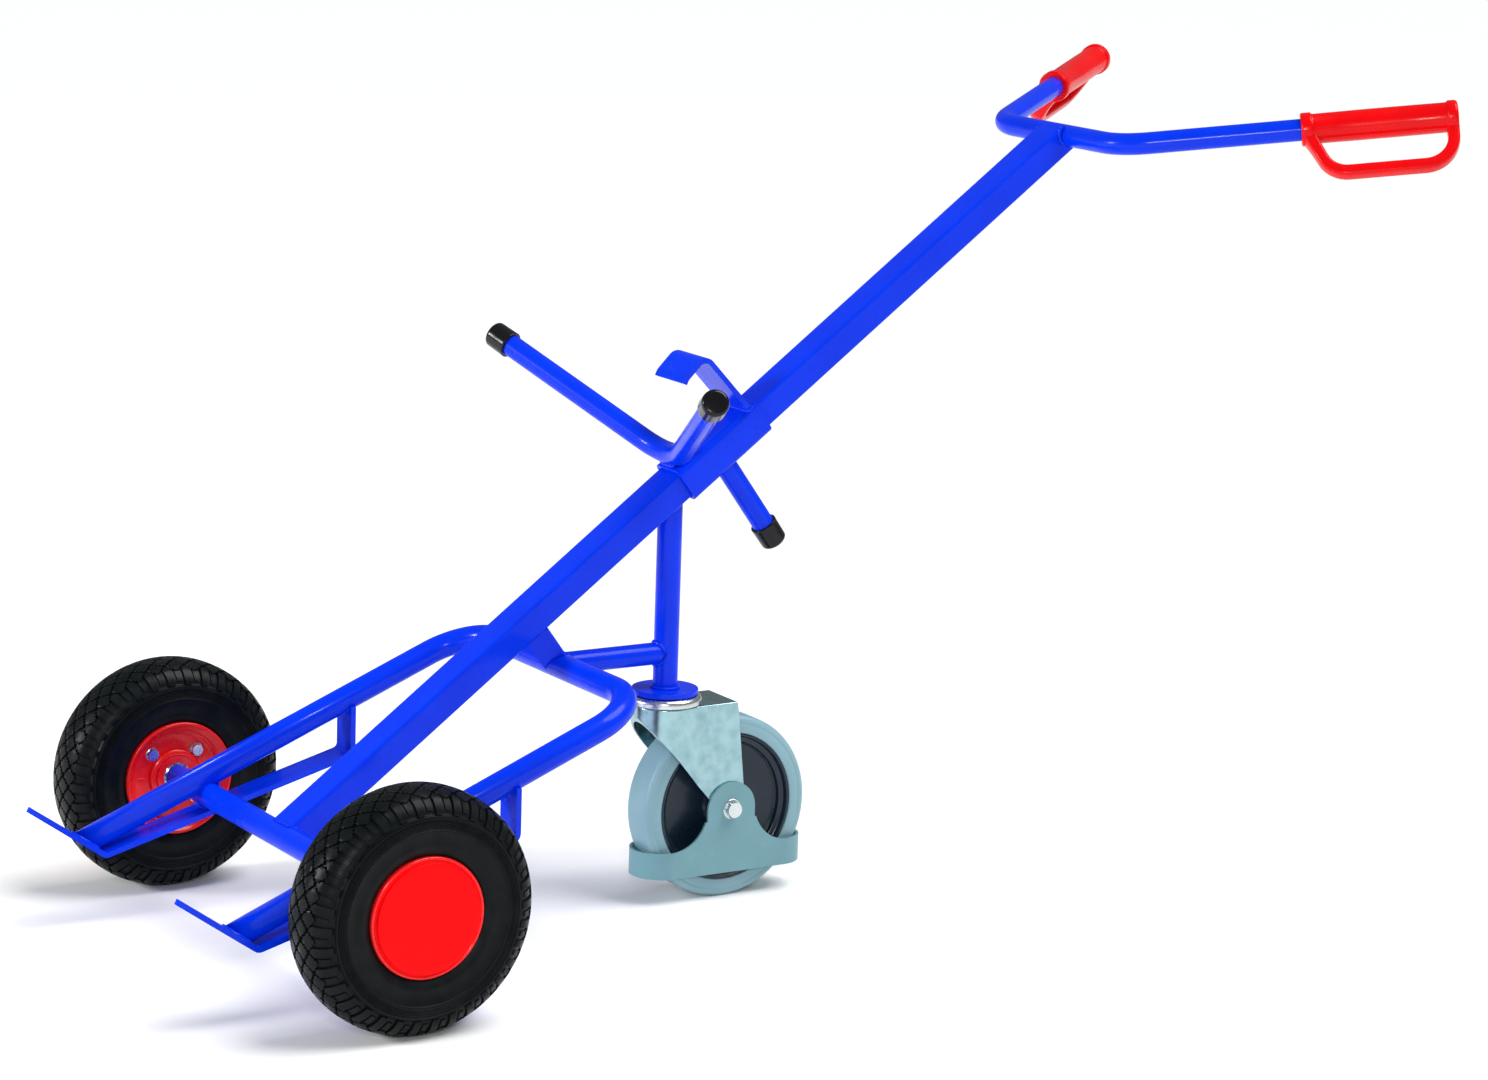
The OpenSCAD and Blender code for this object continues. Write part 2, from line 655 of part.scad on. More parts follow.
bolt_across = 13;
bolt_head_h = 5.3;
nut_h = 6.5;
bolt_len = 2 * rim_wall + nut_h + 3;
module rim_bolts(side) color(zinc) on_wheel(side)
    for (i = [0:rim_bolt_count - 1]) rotate([0, 0, 45 + i * 360 / rim_bolt_count])
        translate([rim_bolt_pcd / 2, 0, -rim_joint - rim_wall - 2 * press_gap]) {
            translate([0, 0, -bolt_head_h]) hex_prism(bolt_across, bolt_head_h);
            cylinder(d = rim_bolt_d, h = bolt_len);
        }
module rim_bolts_left() { rim_bolts(-1); }
module rim_bolts_right() { rim_bolts(1); }

module rim_nuts(side) color(zinc) on_wheel(side)
    for (i = [0:rim_bolt_count - 1]) rotate([0, 0, 45 + i * 360 / rim_bolt_count])
        translate([rim_bolt_pcd / 2, 0, -rim_joint + rim_wall + press_gap]) difference() {
            hex_prism(bolt_across, nut_h);
            translate([0, 0, -eps]) cylinder(d = rim_bolt_d + 2 * press_gap, h = nut_h + 2 * eps);
        }
module rim_nuts_left() { rim_nuts(-1); }
module rim_nuts_right() { rim_nuts(1); }

// The hub is a tube with a turned-in lip at each end, which holds its bearing.
hub_lip_t = 2;
hub_lip_r = 16.5;
module hub(side) color(red) on_wheel(side) difference() {
    translate([0, 0, -hub_len / 2]) cylinder(r = hub_r, h = hub_len);
    translate([0, 0, -hub_len / 2 - eps]) cylinder(r = hub_lip_r, h = hub_len + 2 * eps);
    translate([0, 0, -hub_len / 2 + hub_lip_t])
        cylinder(d = bearing_d + 2 * press_gap, h = hub_len - 2 * hub_lip_t);
}
module hub_left() { hub(-1); }
module hub_right() { hub(1); }

module bearings(side) color(zinc) on_wheel(side)
    for (end = [0, 1]) mirror([0, 0, end]) translate([0, 0, hub_len / 2 - hub_lip_t - bearing_w - press_gap])
        ring(bearing_d / 2, axle_d / 2 + run_gap, bearing_w);
module bearings_left() { bearings(-1); }
module bearings_right() { bearings(1); }

// The valve leaves the inner tube through the rim's well and turns outboard behind the cap.
valve_top = seat_half - 4;
module valve(side) color(black) on_wheel(side) {
    translate([valve_bend_r, 0, valve_z]) rotate([0, 90, 0])
        cylinder(d = valve_d, h = section_mid - tube_half_h - valve_bend_r - tube_gap);
    translate([valve_bend_r, 0, valve_z - valve_d / 2]) cylinder(d = valve_d, h = valve_top - valve_z);
}
module valve_left() { valve(-1); }
module valve_right() { valve(1); }

cap_face_z = seat_half + rim_wall + lip_w;
cap_t = 2.4;
cap_edge = 1.2;
module hub_cap(side) color(red) on_wheel(side) rotate_extrude($fn = 96) {
    face = cap_face_z + press_gap;
    translate([0, face]) square([cap_d / 2 - cap_edge, cap_t]);
    translate([0, face]) square([cap_d / 2, cap_t - cap_edge]);
    translate([cap_d / 2 - cap_edge, face + cap_t - cap_edge]) circle(r = cap_edge);
    translate([flange_r - lip_t - press_gap - cap_t, seat_half + rim_wall + press_gap])
        square([cap_t, lip_w + eps]);
}
module hub_cap_left() { hub_cap(-1); }
module hub_cap_right() { hub_cap(1); }

washer_t = 2.5;
washer_r = 15.5;
inner_washer_t = track / 2 - axle_tube_half - (hub_len / 2 - hub_lip_t) - 3 * press_gap;
module axle_washers() color(zinc)
    for (side = [-1, 1]) on_wheel(side) {
        translate([0, 0, hub_len / 2 - hub_lip_t]) ring(washer_r, axle_d / 2 + press_gap, washer_t);
        translate([0, 0, -hub_len / 2 + hub_lip_t - inner_washer_t])
            ring(frame_r, axle_d / 2 + press_gap, inner_washer_t - press_gap);
    }

// Split pins cross the shaft just outside the outer washers.
pin_d = 3.2;
pin_len = 34;
pin_eye_r = 4;
module split_pins() color(zinc)
    for (side = [-1, 1]) placed() translate([side * pin_x, 0, axle_z]) {
        translate([0, 0, -pin_len / 2]) cylinder(d = pin_d, h = pin_len);
        translate([0, 0, pin_len / 2 + pin_eye_r]) rotate([0, 90, 0]) rotate_extrude()
            translate([pin_eye_r, 0]) circle(d = pin_d / 2);
    }

// ---------- castor ----------

castor_r = castor_d / 2;
castor_y = swivel_back + trail;
hub_half = castor_w / 2 + 4;
fork_half = hub_half + fork_gap;
fork_out = fork_half + fork_wall;
head_r = 42;
head_t = 8;
crown_top = castor_h - head_t - 4;
crown_r = fork_out + 6;
module on_castor() { placed() translate([0, castor_y, castor_r]) children(); }
module on_swivel(z) { placed() translate([0, swivel_back, z]) children(); }

stud_head_h = 8;
stud_bottom = crown_top - fork_wall - stud_head_h - press_gap;
module castor_stud() color(zinc) on_swivel(stud_bottom) {
    hex_prism(stud_nut_across, stud_head_h);
    cylinder(d = stud_d, h = plate_top + stud_nut_h - stud_bottom);
}

// The head is a pressed saucer under the mounting plate; the balls run under its rim.
head_sheet = 3;
ball_d = 6;
ball_count = 20;
race_r = 30;
module castor_head() color(zinc) on_swivel(0) rotate_extrude() difference() {
    polygon([
        [stud_d / 2 + press_gap, castor_h - press_gap], [plate_d / 2, castor_h - press_gap],
        [head_r, castor_h - head_t], [head_r, castor_h - head_t - head_sheet],
        [plate_d / 2 - 1, castor_h - head_t], [stud_d / 2 + press_gap, castor_h - head_t]
    ]);
    translate([race_r, castor_h - head_t - ball_d / 2 + 2]) circle(d = ball_d + 2 * press_gap);
}
ball_z = castor_h - head_t - ball_d / 2 + 2;
module castor_balls() color(zinc) on_swivel(ball_z)
    for (i = [0:ball_count - 1]) rotate([0, 0, i * 360 / ball_count]) translate([race_r, 0, 0])
        sphere(d = ball_d);

// The fork is one pressed sheet: a crown round the stud, a curved front, and two raked legs.
fork_foot_r = 20;
fork_back = 26;                   // how far the legs' rear edge stands behind the wheel's axle at the top
fork_front_drop = 34;             // depth of the curved front below the crown
function fork_side() = concat(
    [[-crown_r, crown_top], [-crown_r, crown_top - 14], [-crown_r + 14, crown_top - fork_front_drop],
     [trail - fork_foot_r, castor_r + 4]],
    [for (a = [180:15:360]) [trail + fork_foot_r * cos(a), castor_r + fork_foot_r * sin(a)]],
    [[trail + fork_foot_r, castor_r + 4], [trail + 8, crown_top - 12], [trail + 6, crown_top]]
);
module fork_plan(half, front_r) {
    intersection() {
        circle(r = front_r);
        translate([-front_r, -front_r]) square([2 * front_r, front_r]);
    }
    polygon([[-front_r, 0], [front_r, 0], [half, 30], [half, trail + 40], [-half, trail + 40], [-half, 30]]);
}
module castor_fork() color(zinc) {
    placed() translate([0, swivel_back, 0]) difference() {
        intersection() {
            linear_extrude(crown_top) fork_plan(fork_out, crown_r);
            upright() linear_extrude(4 * crown_r, center = true) polygon(fork_side());
        }
        translate([0, 0, -eps]) linear_extrude(crown_top - fork_wall + eps)
            fork_plan(fork_half, crown_r - fork_wall);
        translate([0, 0, crown_top - fork_wall - eps]) cylinder(d = stud_d + 2 * run_gap, h = fork_wall + 2 * eps);
        translate([0, 0, ball_z]) rotate_extrude() translate([race_r, 0]) circle(d = ball_d + 2 * press_gap);
        translate([-2 * crown_r, trail, castor_r]) rotate([0, 90, 0])
            cylinder(d = castor_bolt_d + 2 * press_gap, h = 4 * crown_r);
    }
}

guard_in = fork_out + press_gap;
guard_out = guard_in + toe_guard_wall;
castor_bolt_across = 18;
castor_bolt_head = 8;
module castor_axle_bolt() color(zinc) on_castor() {
    translate([guard_out + press_gap, 0, 0]) rotate([0, 90, 0]) hex_prism(castor_bolt_across, castor_bolt_head);
    translate([-guard_out - 14, 0, 0]) rotate([0, 90, 0])
        cylinder(d = castor_bolt_d, h = 2 * guard_out + 14 + press_gap + eps);
}
module castor_axle_nut() color(zinc) on_castor() translate([-guard_out - press_gap, 0, 0]) rotate([0, -90, 0])
    difference() {
        hex_prism(castor_bolt_across, 10);
        translate([0, 0, -eps]) cylinder(d = castor_bolt_d + 2 * press_gap, h = 10 + 2 * eps);
    }

axle_sleeve_d = 16;
module castor_axle_sleeve() color(zinc) on_castor() translate([-fork_half + press_gap, 0, 0])
    rotate([0, 90, 0]) ring(axle_sleeve_d / 2, castor_bolt_d / 2 + press_gap, 2 * fork_half - 2 * press_gap);

core_r = castor_r - tread_t;
tread_round = 7;
module castor_tread() color(grey) on_castor() rotate([0, 90, 0]) rotate_extrude($fn = 96) difference() {
    translate([castor_r / 2, 0]) rounded_rect(castor_r, castor_w, tread_round);
    translate([-1, -castor_w]) square([core_r + press_gap + 1, 2 * castor_w]);
}

core_rim_w = castor_w - 3;
core_web_w = 12;
core_hub_r = 20;
core_rim_t = 8;
bush_r = 12;
module castor_core() color(navy) on_castor() rotate([0, 90, 0]) difference() {
    rotate_extrude($fn = 96) {
        translate([core_r - core_rim_t, -core_rim_w / 2]) square([core_rim_t, core_rim_w]);
        translate([bush_r, -core_web_w / 2]) square([core_r - bush_r - eps, core_web_w]);
        translate([bush_r + press_gap, -hub_half + 1]) square([core_hub_r - bush_r, 2 * hub_half - 2]);
    }
    translate([0, 0, -2 * hub_half]) cylinder(r = bush_r + press_gap, h = 4 * hub_half);
}

bush_len = 18;
module castor_bushes() color(black) on_castor() rotate([0, 90, 0])
    for (end = [0, 1]) mirror([0, 0, end]) translate([0, 0, hub_half - bush_len])
        ring(bush_r, axle_sleeve_d / 2 + run_gap, bush_len);

// The toe guard is a band round the wheel with a flap on each side that the axle bolt holds.
flap_r = 31;
flap_blend = 46;
module flap_outline() {
    top = castor_r - toe_guard_z - toe_guard_h;
    difference() {
        union() {
            circle(r = flap_r);
            translate([-flap_r - flap_blend, -top - eps]) square([2 * (flap_r + flap_blend), top - flap_blend / 4]);
            translate([-flap_r, -top]) square([2 * flap_r, top]);
        }
        for (side = [-1, 1]) translate([side * (flap_r + flap_blend), -top + flap_blend]) circle(r = flap_blend);
    }
}
module stadium(length, width) {
    square([width, length - width], center = true);
    for (end = [-1, 1]) translate([0, end * (length - width) / 2]) circle(d = width);
}
module castor_toe_guard() color(grey) {
    on_castor() translate([0, 0, toe_guard_z - castor_r]) linear_extrude(toe_guard_h) difference() {
        stadium(toe_guard_len, 2 * guard_out);
        stadium(toe_guard_len - 2 * toe_guard_wall, 2 * guard_in);
    }
    on_castor() difference() {
        for (side = [-1, 1]) translate([side * (guard_in + toe_guard_wall / 2), 0, 0]) upright()
            linear_extrude(toe_guard_wall, center = true) flap_outline();
        translate([-2 * guard_out, 0, 0]) rotate([0, 90, 0])
            cylinder(d = castor_bolt_d + 2 * press_gap, h = 4 * guard_out);
    }
}

mast();
u_frame();
axle_tube();
axle_shaft();
toe_strip_left();
toe_strip_right();
mast_bracket();
castor_post();
castor_strut();
castor_plate();
stud_nut();
handlebar();
grip_left();
grip_right();
hook_sleeve();
drum_hook();
drum_cradle();
cradle_cap_left();
cradle_cap_right();
sleeve_handle();
sleeve_handle_cap();
tyre_left();
tyre_right();
inner_tube_left();
inner_tube_right();
valve_left();
valve_right();
rim_outer_left();
rim_outer_right();
rim_inner_left();
rim_inner_right();
rim_bolts_left();
rim_bolts_right();
rim_nuts_left();
rim_nuts_right();
hub_left();
hub_right();
bearings_left();
bearings_right();
hub_cap_left();
hub_cap_right();
axle_washers();
split_pins();
castor_stud();
castor_head();
castor_balls();
castor_fork();
castor_axle_bolt();
castor_axle_nut();
castor_axle_sleeve();
castor_tread();
castor_core();
castor_bushes();
castor_toe_guard();
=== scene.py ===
"""Looks of a drum hand truck: a blue tube frame, two pneumatic wheels, a hook carriage and a castor.

Sizes are in millimetres in the truck's own places, and each piece is laid into the frame in metres.
"""
import json
import logging
import math
from dataclasses import dataclass, field
from enum import Enum

import bmesh
import bpy
from mathutils import Matrix, Vector


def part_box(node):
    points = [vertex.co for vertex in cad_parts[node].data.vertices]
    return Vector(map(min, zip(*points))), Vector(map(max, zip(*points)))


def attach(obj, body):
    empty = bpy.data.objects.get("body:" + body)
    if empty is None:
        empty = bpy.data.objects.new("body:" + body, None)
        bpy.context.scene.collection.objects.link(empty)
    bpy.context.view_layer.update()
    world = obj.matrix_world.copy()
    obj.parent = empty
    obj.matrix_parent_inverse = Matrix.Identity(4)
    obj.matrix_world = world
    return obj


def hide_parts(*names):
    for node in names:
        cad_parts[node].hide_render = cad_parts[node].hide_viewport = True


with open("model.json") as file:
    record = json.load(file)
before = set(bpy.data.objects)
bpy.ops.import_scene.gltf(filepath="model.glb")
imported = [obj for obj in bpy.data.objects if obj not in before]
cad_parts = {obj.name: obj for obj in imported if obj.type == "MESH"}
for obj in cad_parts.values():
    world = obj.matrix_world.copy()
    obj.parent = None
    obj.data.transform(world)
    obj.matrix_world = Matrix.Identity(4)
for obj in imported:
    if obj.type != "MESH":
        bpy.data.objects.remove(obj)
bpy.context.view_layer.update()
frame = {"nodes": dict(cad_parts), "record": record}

MM = 0.001
log = logging.getLogger("hand_truck")
Point = Vector
Outline = list[tuple[float, float]]


# ---------- finishes ----------

class Grain(Enum):
    """What covers a surface at close range."""

    ORANGE_PEEL = "orange_peel"   # sprayed or powder-coated paint
    MOULDED = "moulded"           # fine texture of moulded plastic or rubber
    TREAD = "tread"               # rubber with dust and scuffs
    SPANGLE = "spangle"           # hot, mottled zinc on pressed sheet
    BRIGHT = "bright"             # smooth plated steel with fine turning lines


@dataclass(frozen=True)
class Finish:
    """One finish of the truck, and how its shader is made.

    Sizes are in metres. A wear of 0 leaves the edges as new.
    """

    name: str
    slot: str
    colour: tuple[float, float, float]
    deep_colour: tuple[float, float, float]
    roughness: float
    rough_spread: float
    grain: Grain
    grain_size: float
    grain_depth: float
    metallic: float = 0.0
    coat: float = 0.0
    coat_roughness: float = 0.12
    specular: float = 0.5
    wear: float = 0.0
    worn_colour: tuple[float, float, float] = (0.5, 0.5, 0.5)

    def build(self) -> bpy.types.Material:
        """Makes the finish's material, with its colour drift, roughness, relief and worn edges."""
        material = bpy.data.materials.new(self.name)
        material.use_nodes = True
        tree = material.node_tree
        shader = tree.nodes["Principled BSDF"]
        shader.inputs["Metallic"].default_value = self.metallic
        shader.inputs["Coat Weight"].default_value = self.coat
        shader.inputs["Coat Roughness"].default_value = self.coat_roughness
        shader.inputs["Specular IOR Level"].default_value = self.specular
        place = tree.nodes.new("ShaderNodeTexCoord").outputs["Object"]
        drift = self._noise(tree, place, self.drift_scale, 4.0)
        tint = self._blend(tree, drift, self.colour, self.deep_colour, 0.35, 0.75)
        if self.wear > 0:
            tint = self._worn(tree, place, tint)
        tree.links.new(tint, shader.inputs["Base Color"])
        tree.links.new(self._roughness(tree, place), shader.inputs["Roughness"])
        tree.links.new(self._relief(tree, place), shader.inputs["Normal"])
        return material

    @property
    def drift_scale(self) -> float:
        """How many colour patches there are to a metre."""
        return {Grain.SPANGLE: 66.0, Grain.TREAD: 54.0}.get(self.grain, 15.0)

    def _noise(self, tree: bpy.types.NodeTree, place: bpy.types.NodeSocket, scale: float,
               detail: float) -> bpy.types.NodeSocket:
        """Adds a noise texture.

        Args:
            tree: The material's nodes.
            place: The coordinates it is laid on.
            scale: Patches to a metre.
            detail: Octaves of the noise.

        Returns:
            The noise's grey value.
        """
        noise = tree.nodes.new("ShaderNodeTexNoise")
        noise.inputs["Scale"].default_value = scale
        noise.inputs["Detail"].default_value = detail
        tree.links.new(place, noise.inputs["Vector"])
        return noise.outputs["Fac"]

    def _blend(self, tree: bpy.types.NodeTree, factor: bpy.types.NodeSocket, first: tuple, second: tuple,
               low: float, high: float) -> bpy.types.NodeSocket:
        """Adds a ramp between two colours.

        Args:
            tree: The material's nodes.
            factor: The grey value that the ramp follows.
            first: Colour up to the low value.
            second: Colour from the high value.
            low: Where the ramp starts.
            high: Where the ramp ends.

        Returns:
            The blended colour.
        """
        ramp = tree.nodes.new("ShaderNodeValToRGB")
        ramp.color_ramp.elements[0].position = low
        ramp.color_ramp.elements[1].position = high
        ramp.color_ramp.elements[0].color = (*first, 1.0)
        ramp.color_ramp.elements[1].color = (*second, 1.0)
        tree.links.new(factor, ramp.inputs["Fac"])
        return ramp.outputs["Color"]

    def _worn(self, tree: bpy.types.NodeTree, place: bpy.types.NodeSocket,
              tint: bpy.types.NodeSocket) -> bpy.types.NodeSocket:
        """Rubs the finish off its sharpest edges in patches.

        Args:
            tree: The material's nodes.
            place: The coordinates that the patches lie on.
            tint: The colour without wear.

        Returns:
            The colour with its edges worn.
        """
        edges = tree.nodes.new("ShaderNodeValToRGB")
        edges.color_ramp.elements[0].position = 0.60
        edges.color_ramp.elements[1].position = 0.72
        point = tree.nodes.new("ShaderNodeNewGeometry").outputs["Pointiness"]
        tree.links.new(point, edges.inputs["Fac"])
        patches = self._blend(tree, self._noise(tree, place, 55.0, 5.0), (0, 0, 0), (1, 1, 1), 0.5, 0.62)
        both = tree.nodes.new("ShaderNodeMath")
        both.operation = "MULTIPLY"
        tree.links.new(edges.outputs["Color"], both.inputs[0])
        tree.links.new(patches, both.inputs[1])
        share = tree.nodes.new("ShaderNodeMath")
        share.operation = "MULTIPLY"
        share.inputs[1].default_value = self.wear
        tree.links.new(both.outputs[0], share.inputs[0])
        mix = tree.nodes.new("ShaderNodeMix")
        mix.data_type = "RGBA"
        for socket in mix.inputs:
            if socket.name == "A" and socket.type == "RGBA":
                tree.links.new(tint, socket)
            if socket.name == "B" and socket.type == "RGBA":
                socket.default_value = (*self.worn_colour, 1.0)
        tree.links.new(share.outputs[0], mix.inputs["Factor"])
        return next(out for out in mix.outputs if out.type == "RGBA")

    def _roughness(self, tree: bpy.types.NodeTree, place: bpy.types.NodeSocket) -> bpy.types.NodeSocket:
        """Spreads the roughness over the surface in soft patches and returns it."""
        spread = tree.nodes.new("ShaderNodeMapRange")
        spread.inputs["From Min"].default_value = 0.3
        spread.inputs["From Max"].default_value = 0.7
        spread.inputs["To Min"].default_value = max(self.roughness - self.rough_spread, 0.04)
        spread.inputs["To Max"].default_value = self.roughness + self.rough_spread
        scale = 260.0 if self.grain is Grain.BRIGHT else 34.0
        tree.links.new(self._noise(tree, place, scale, 6.0), spread.inputs["Value"])
        return spread.outputs["Result"]

    def _relief(self, tree: bpy.types.NodeTree, place: bpy.types.NodeSocket) -> bpy.types.NodeSocket:
        """Adds the grain's relief and returns its normal."""
        bump = tree.nodes.new("ShaderNodeBump")
        bump.inputs["Distance"].default_value = self.grain_depth
        bump.inputs["Strength"].default_value = 1.0
        if self.grain in (Grain.MOULDED, Grain.SPANGLE):
            cells = tree.nodes.new("ShaderNodeTexVoronoi")
            cells.inputs["Scale"].default_value = 1.0 / self.grain_size
            tree.links.new(place, cells.inputs["Vector"])
            tree.links.new(cells.outputs["Distance"], bump.inputs["Height"])
        else:
            tree.links.new(self._noise(tree, place, 1.0 / self.grain_size, 3.0), bump.inputs["Height"])
        return bump.outputs["Normal"]


@dataclass
class Finishes:
    """Every finish on the truck, each made once."""

    blue_paint: Finish = Finish(
        "blue_powder_coat", "blue_paint", (0.0, 0.036, 0.78), (0.0, 0.028, 0.68), 0.30, 0.05,
        Grain.ORANGE_PEEL, 0.0024, 0.00005, coat=0.16, coat_roughness=0.10, specular=0.08, wear=0.12,
        worn_colour=(0.01, 0.10, 0.82))
    red_paint: Finish = Finish(
        "red_rim_paint", "red_paint", (0.82, 0.008, 0.010), (0.70, 0.006, 0.008), 0.26, 0.05,
        Grain.ORANGE_PEEL, 0.0018, 0.00004, coat=0.25, specular=0.25, wear=0.3,
        worn_colour=(0.60, 0.30, 0.28))
    red_cap: Finish = Finish(
        "red_cap_plastic", "red_cap", (0.92, 0.001, 0.003), (0.86, 0.001, 0.003), 0.44, 0.04,
        Grain.MOULDED, 0.0007, 0.000008, specular=0.08)
    red_grip: Finish = Finish(
        "red_grip_vinyl", "red_grip", (0.80, 0.001, 0.003), (0.70, 0.001, 0.003), 0.27, 0.06,
        Grain.MOULDED, 0.0009, 0.000014, coat=0.14, specular=0.10)
    tyre_rubber: Finish = Finish(
        "tyre_rubber", "tyre_rubber", (0.003, 0.004, 0.0045), (0.006, 0.008, 0.009), 0.38, 0.10,
        Grain.TREAD, 0.0011, 0.00006, specular=0.10)
    tube_rubber: Finish = Finish(
        "tube_rubber", "tube_rubber", (0.016, 0.016, 0.016), (0.026, 0.026, 0.026), 0.5, 0.08,
        Grain.TREAD, 0.0015, 0.00004)
    zinc: Finish = Finish(
        "bright_zinc", "zinc", (0.74, 0.77, 0.79), (0.58, 0.61, 0.60), 0.26, 0.08,
        Grain.BRIGHT, 0.0016, 0.000008, metallic=1.0, wear=0.1, worn_colour=(0.88, 0.88, 0.88))
    fork_zinc: Finish = Finish(
        "pressed_sheet_zinc", "fork_zinc", (0.36, 0.55, 0.59), (0.24, 0.41, 0.45), 0.23, 0.08,
        Grain.SPANGLE, 0.0035, 0.000018, metallic=1.0, wear=0.2, worn_colour=(0.80, 0.86, 0.86))
    bearing_steel: Finish = Finish(
        "ground_steel", "bearing_steel", (0.70, 0.71, 0.72), (0.56, 0.57, 0.58), 0.18, 0.05,
        Grain.BRIGHT, 0.0012, 0.00001, metallic=1.0)
    guard_grey: Finish = Finish(
        "guard_paint", "guard_grey", (0.155, 0.325, 0.365), (0.130, 0.285, 0.325), 0.42, 0.06,
        Grain.ORANGE_PEEL, 0.0020, 0.00005, wear=0.15, worn_colour=(0.40, 0.55, 0.58))
    castor_rubber: Finish = Finish(
        "grey_castor_rubber", "castor_rubber", (0.23, 0.40, 0.46), (0.19, 0.34, 0.39), 0.44, 0.06,
        Grain.MOULDED, 0.0010, 0.00003)
    castor_plastic: Finish = Finish(
        "dark_castor_plastic", "castor_plastic", (0.006, 0.016, 0.030), (0.010, 0.022, 0.038), 0.30, 0.08,
        Grain.MOULDED, 0.0012, 0.00003, coat=0.15, specular=0.3)
    black_cap: Finish = Finish(
        "black_cap_vinyl", "black_cap", (0.004, 0.004, 0.005), (0.008, 0.008, 0.009), 0.20, 0.05,
        Grain.MOULDED, 0.0010, 0.000012, coat=0.15, specular=0.2)
    made: dict[str, bpy.types.Material] = field(default_factory=dict)

    def of(self, finish: Finish) -> bpy.types.Material:
        """Returns the finish's material, made on its first use."""
        if finish.name not in self.made:
            self.made[finish.name] = finish.build()
        return self.made[finish.name]

    def dress_frame_nodes(self) -> None:
        """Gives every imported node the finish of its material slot."""
        by_slot = {f.slot: f for f in vars(self).values() if isinstance(f, Finish)}
        for part in frame["record"]["subparts"]:
            node = frame["nodes"][part["node"]]
            for place in node.material_slots:
                place.material = self.of(by_slot[part["material_slot"]])


FINISHES = Finishes()


# ---------- mesh work ----------

@dataclass
class Shape:
    """Points in millimetres and faces of one piece, gathered part by part."""

    points: list[Point] = field(default_factory=list)
    faces: list[tuple[int, ...]] = field(default_factory=list)

    def add(self, points: list[Point], faces: list[tuple[int, ...]], place: Matrix | None = None) -> None:
        """Adds a part.

        Args:
            points: The part's points.
            faces: Its faces, as places in its own list of points.
            place: Where it goes, or None to leave it where it is.
        """
        base = len(self.points)
        matrix = place or Matrix.Identity(4)
        flip = matrix.to_3x3().determinant() < 0
        self.points += [matrix @ Vector(p) for p in points]
        for face in faces:
            moved = tuple(base + i for i in face)
            self.faces.append(moved[::-1] if flip else moved)

    def lathe(self, profile: Outline, steps: int, place: Matrix | None = None, closed: bool = True) -> None:
        """Turns a profile round the local Z axis.

        Args:
            profile: Radius and height of each point, in order.
            steps: Number of segments round the axis.
            place: Where the turned part goes.
            closed: Whether the last point joins the first.
        """
        points, faces = [], []
        for i in range(steps):
            a = math.tau * i / steps
            points += [Vector((r * math.cos(a), r * math.sin(a), z)) for r, z in profile]
        n = len(profile)
        for i in range(steps):
            here, there = i * n, (i + 1) % steps * n
            for j in range(n if closed else n - 1):
                k = (j + 1) % n
                if profile[j][0] < 1e-6 and profile[k][0] < 1e-6:
                    continue
                faces.append((here + j, there + j, there + k, here + k))
        self.add(points, faces, place)

    def sweep(self, path: list[Point], up: Point, section: Outline, place: Matrix | None = None,
              closed: bool = False, swell: list[tuple[float, float]] | None = None) -> None:
        """Runs a section along a path.

        Args:
            path: Points of the path.
            up: Direction that the section's second axis keeps to.
            section: Points of the section, across and up.
            place: Where the swept part goes.
            closed: Whether the path is a loop.
            swell: Scale of the section across and up at each point, or None.
        """
        points, faces = [], []
        n, m = len(path), len(section)
        for i, p in enumerate(path):
            before = path[i - 1] if i or closed else p
            after = path[(i + 1) % n] if i < n - 1 or closed else p
            along = (after - before).normalized()
            across = along.cross(up).normalized()
            rise = across.cross(along)
            wide, high = swell[i] if swell else (1.0, 1.0)
            points += [p + across * (u * wide) + rise * (v * high) for u, v in section]
        for i in range(n if closed else n - 1):
            here, there = i * m, (i + 1) % n * m
            for j in range(m):
                k = (j + 1) % m
                faces.append((here + j, here + k, there + k, there + j))
        if not closed:
            faces.append(tuple(range(m))[::-1])
            faces.append(tuple(range((n - 1) * m, n * m)))
        self.add(points, faces, place)

    def piece(self, name: str, body: str, finish: Finish, crease: float = 35.0,
              replaces: tuple[str, ...] = ()) -> bpy.types.Object:
        """Makes the piece in the frame.

        Args:
            name: The piece's name.
            body: The body that it rides on.
            finish: What covers it.
            crease: Angle in degrees above which an edge stays sharp.
            replaces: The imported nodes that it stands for.

        Returns:
            The piece.
        """
        mesh = bpy.data.meshes.new(name)
        mesh.from_pydata([p * MM for p in self.points], [], self.faces)
        tidy = bmesh.new()
        tidy.from_mesh(mesh)
        bmesh.ops.remove_doubles(tidy, verts=tidy.verts, dist=0.00001)
        bmesh.ops.dissolve_degenerate(tidy, edges=tidy.edges, dist=0.000005)
        bmesh.ops.recalc_face_normals(tidy, faces=tidy.faces)
        tidy.to_mesh(mesh)
        tidy.free()
        return settle(mesh, name, body, finish, crease, replaces)


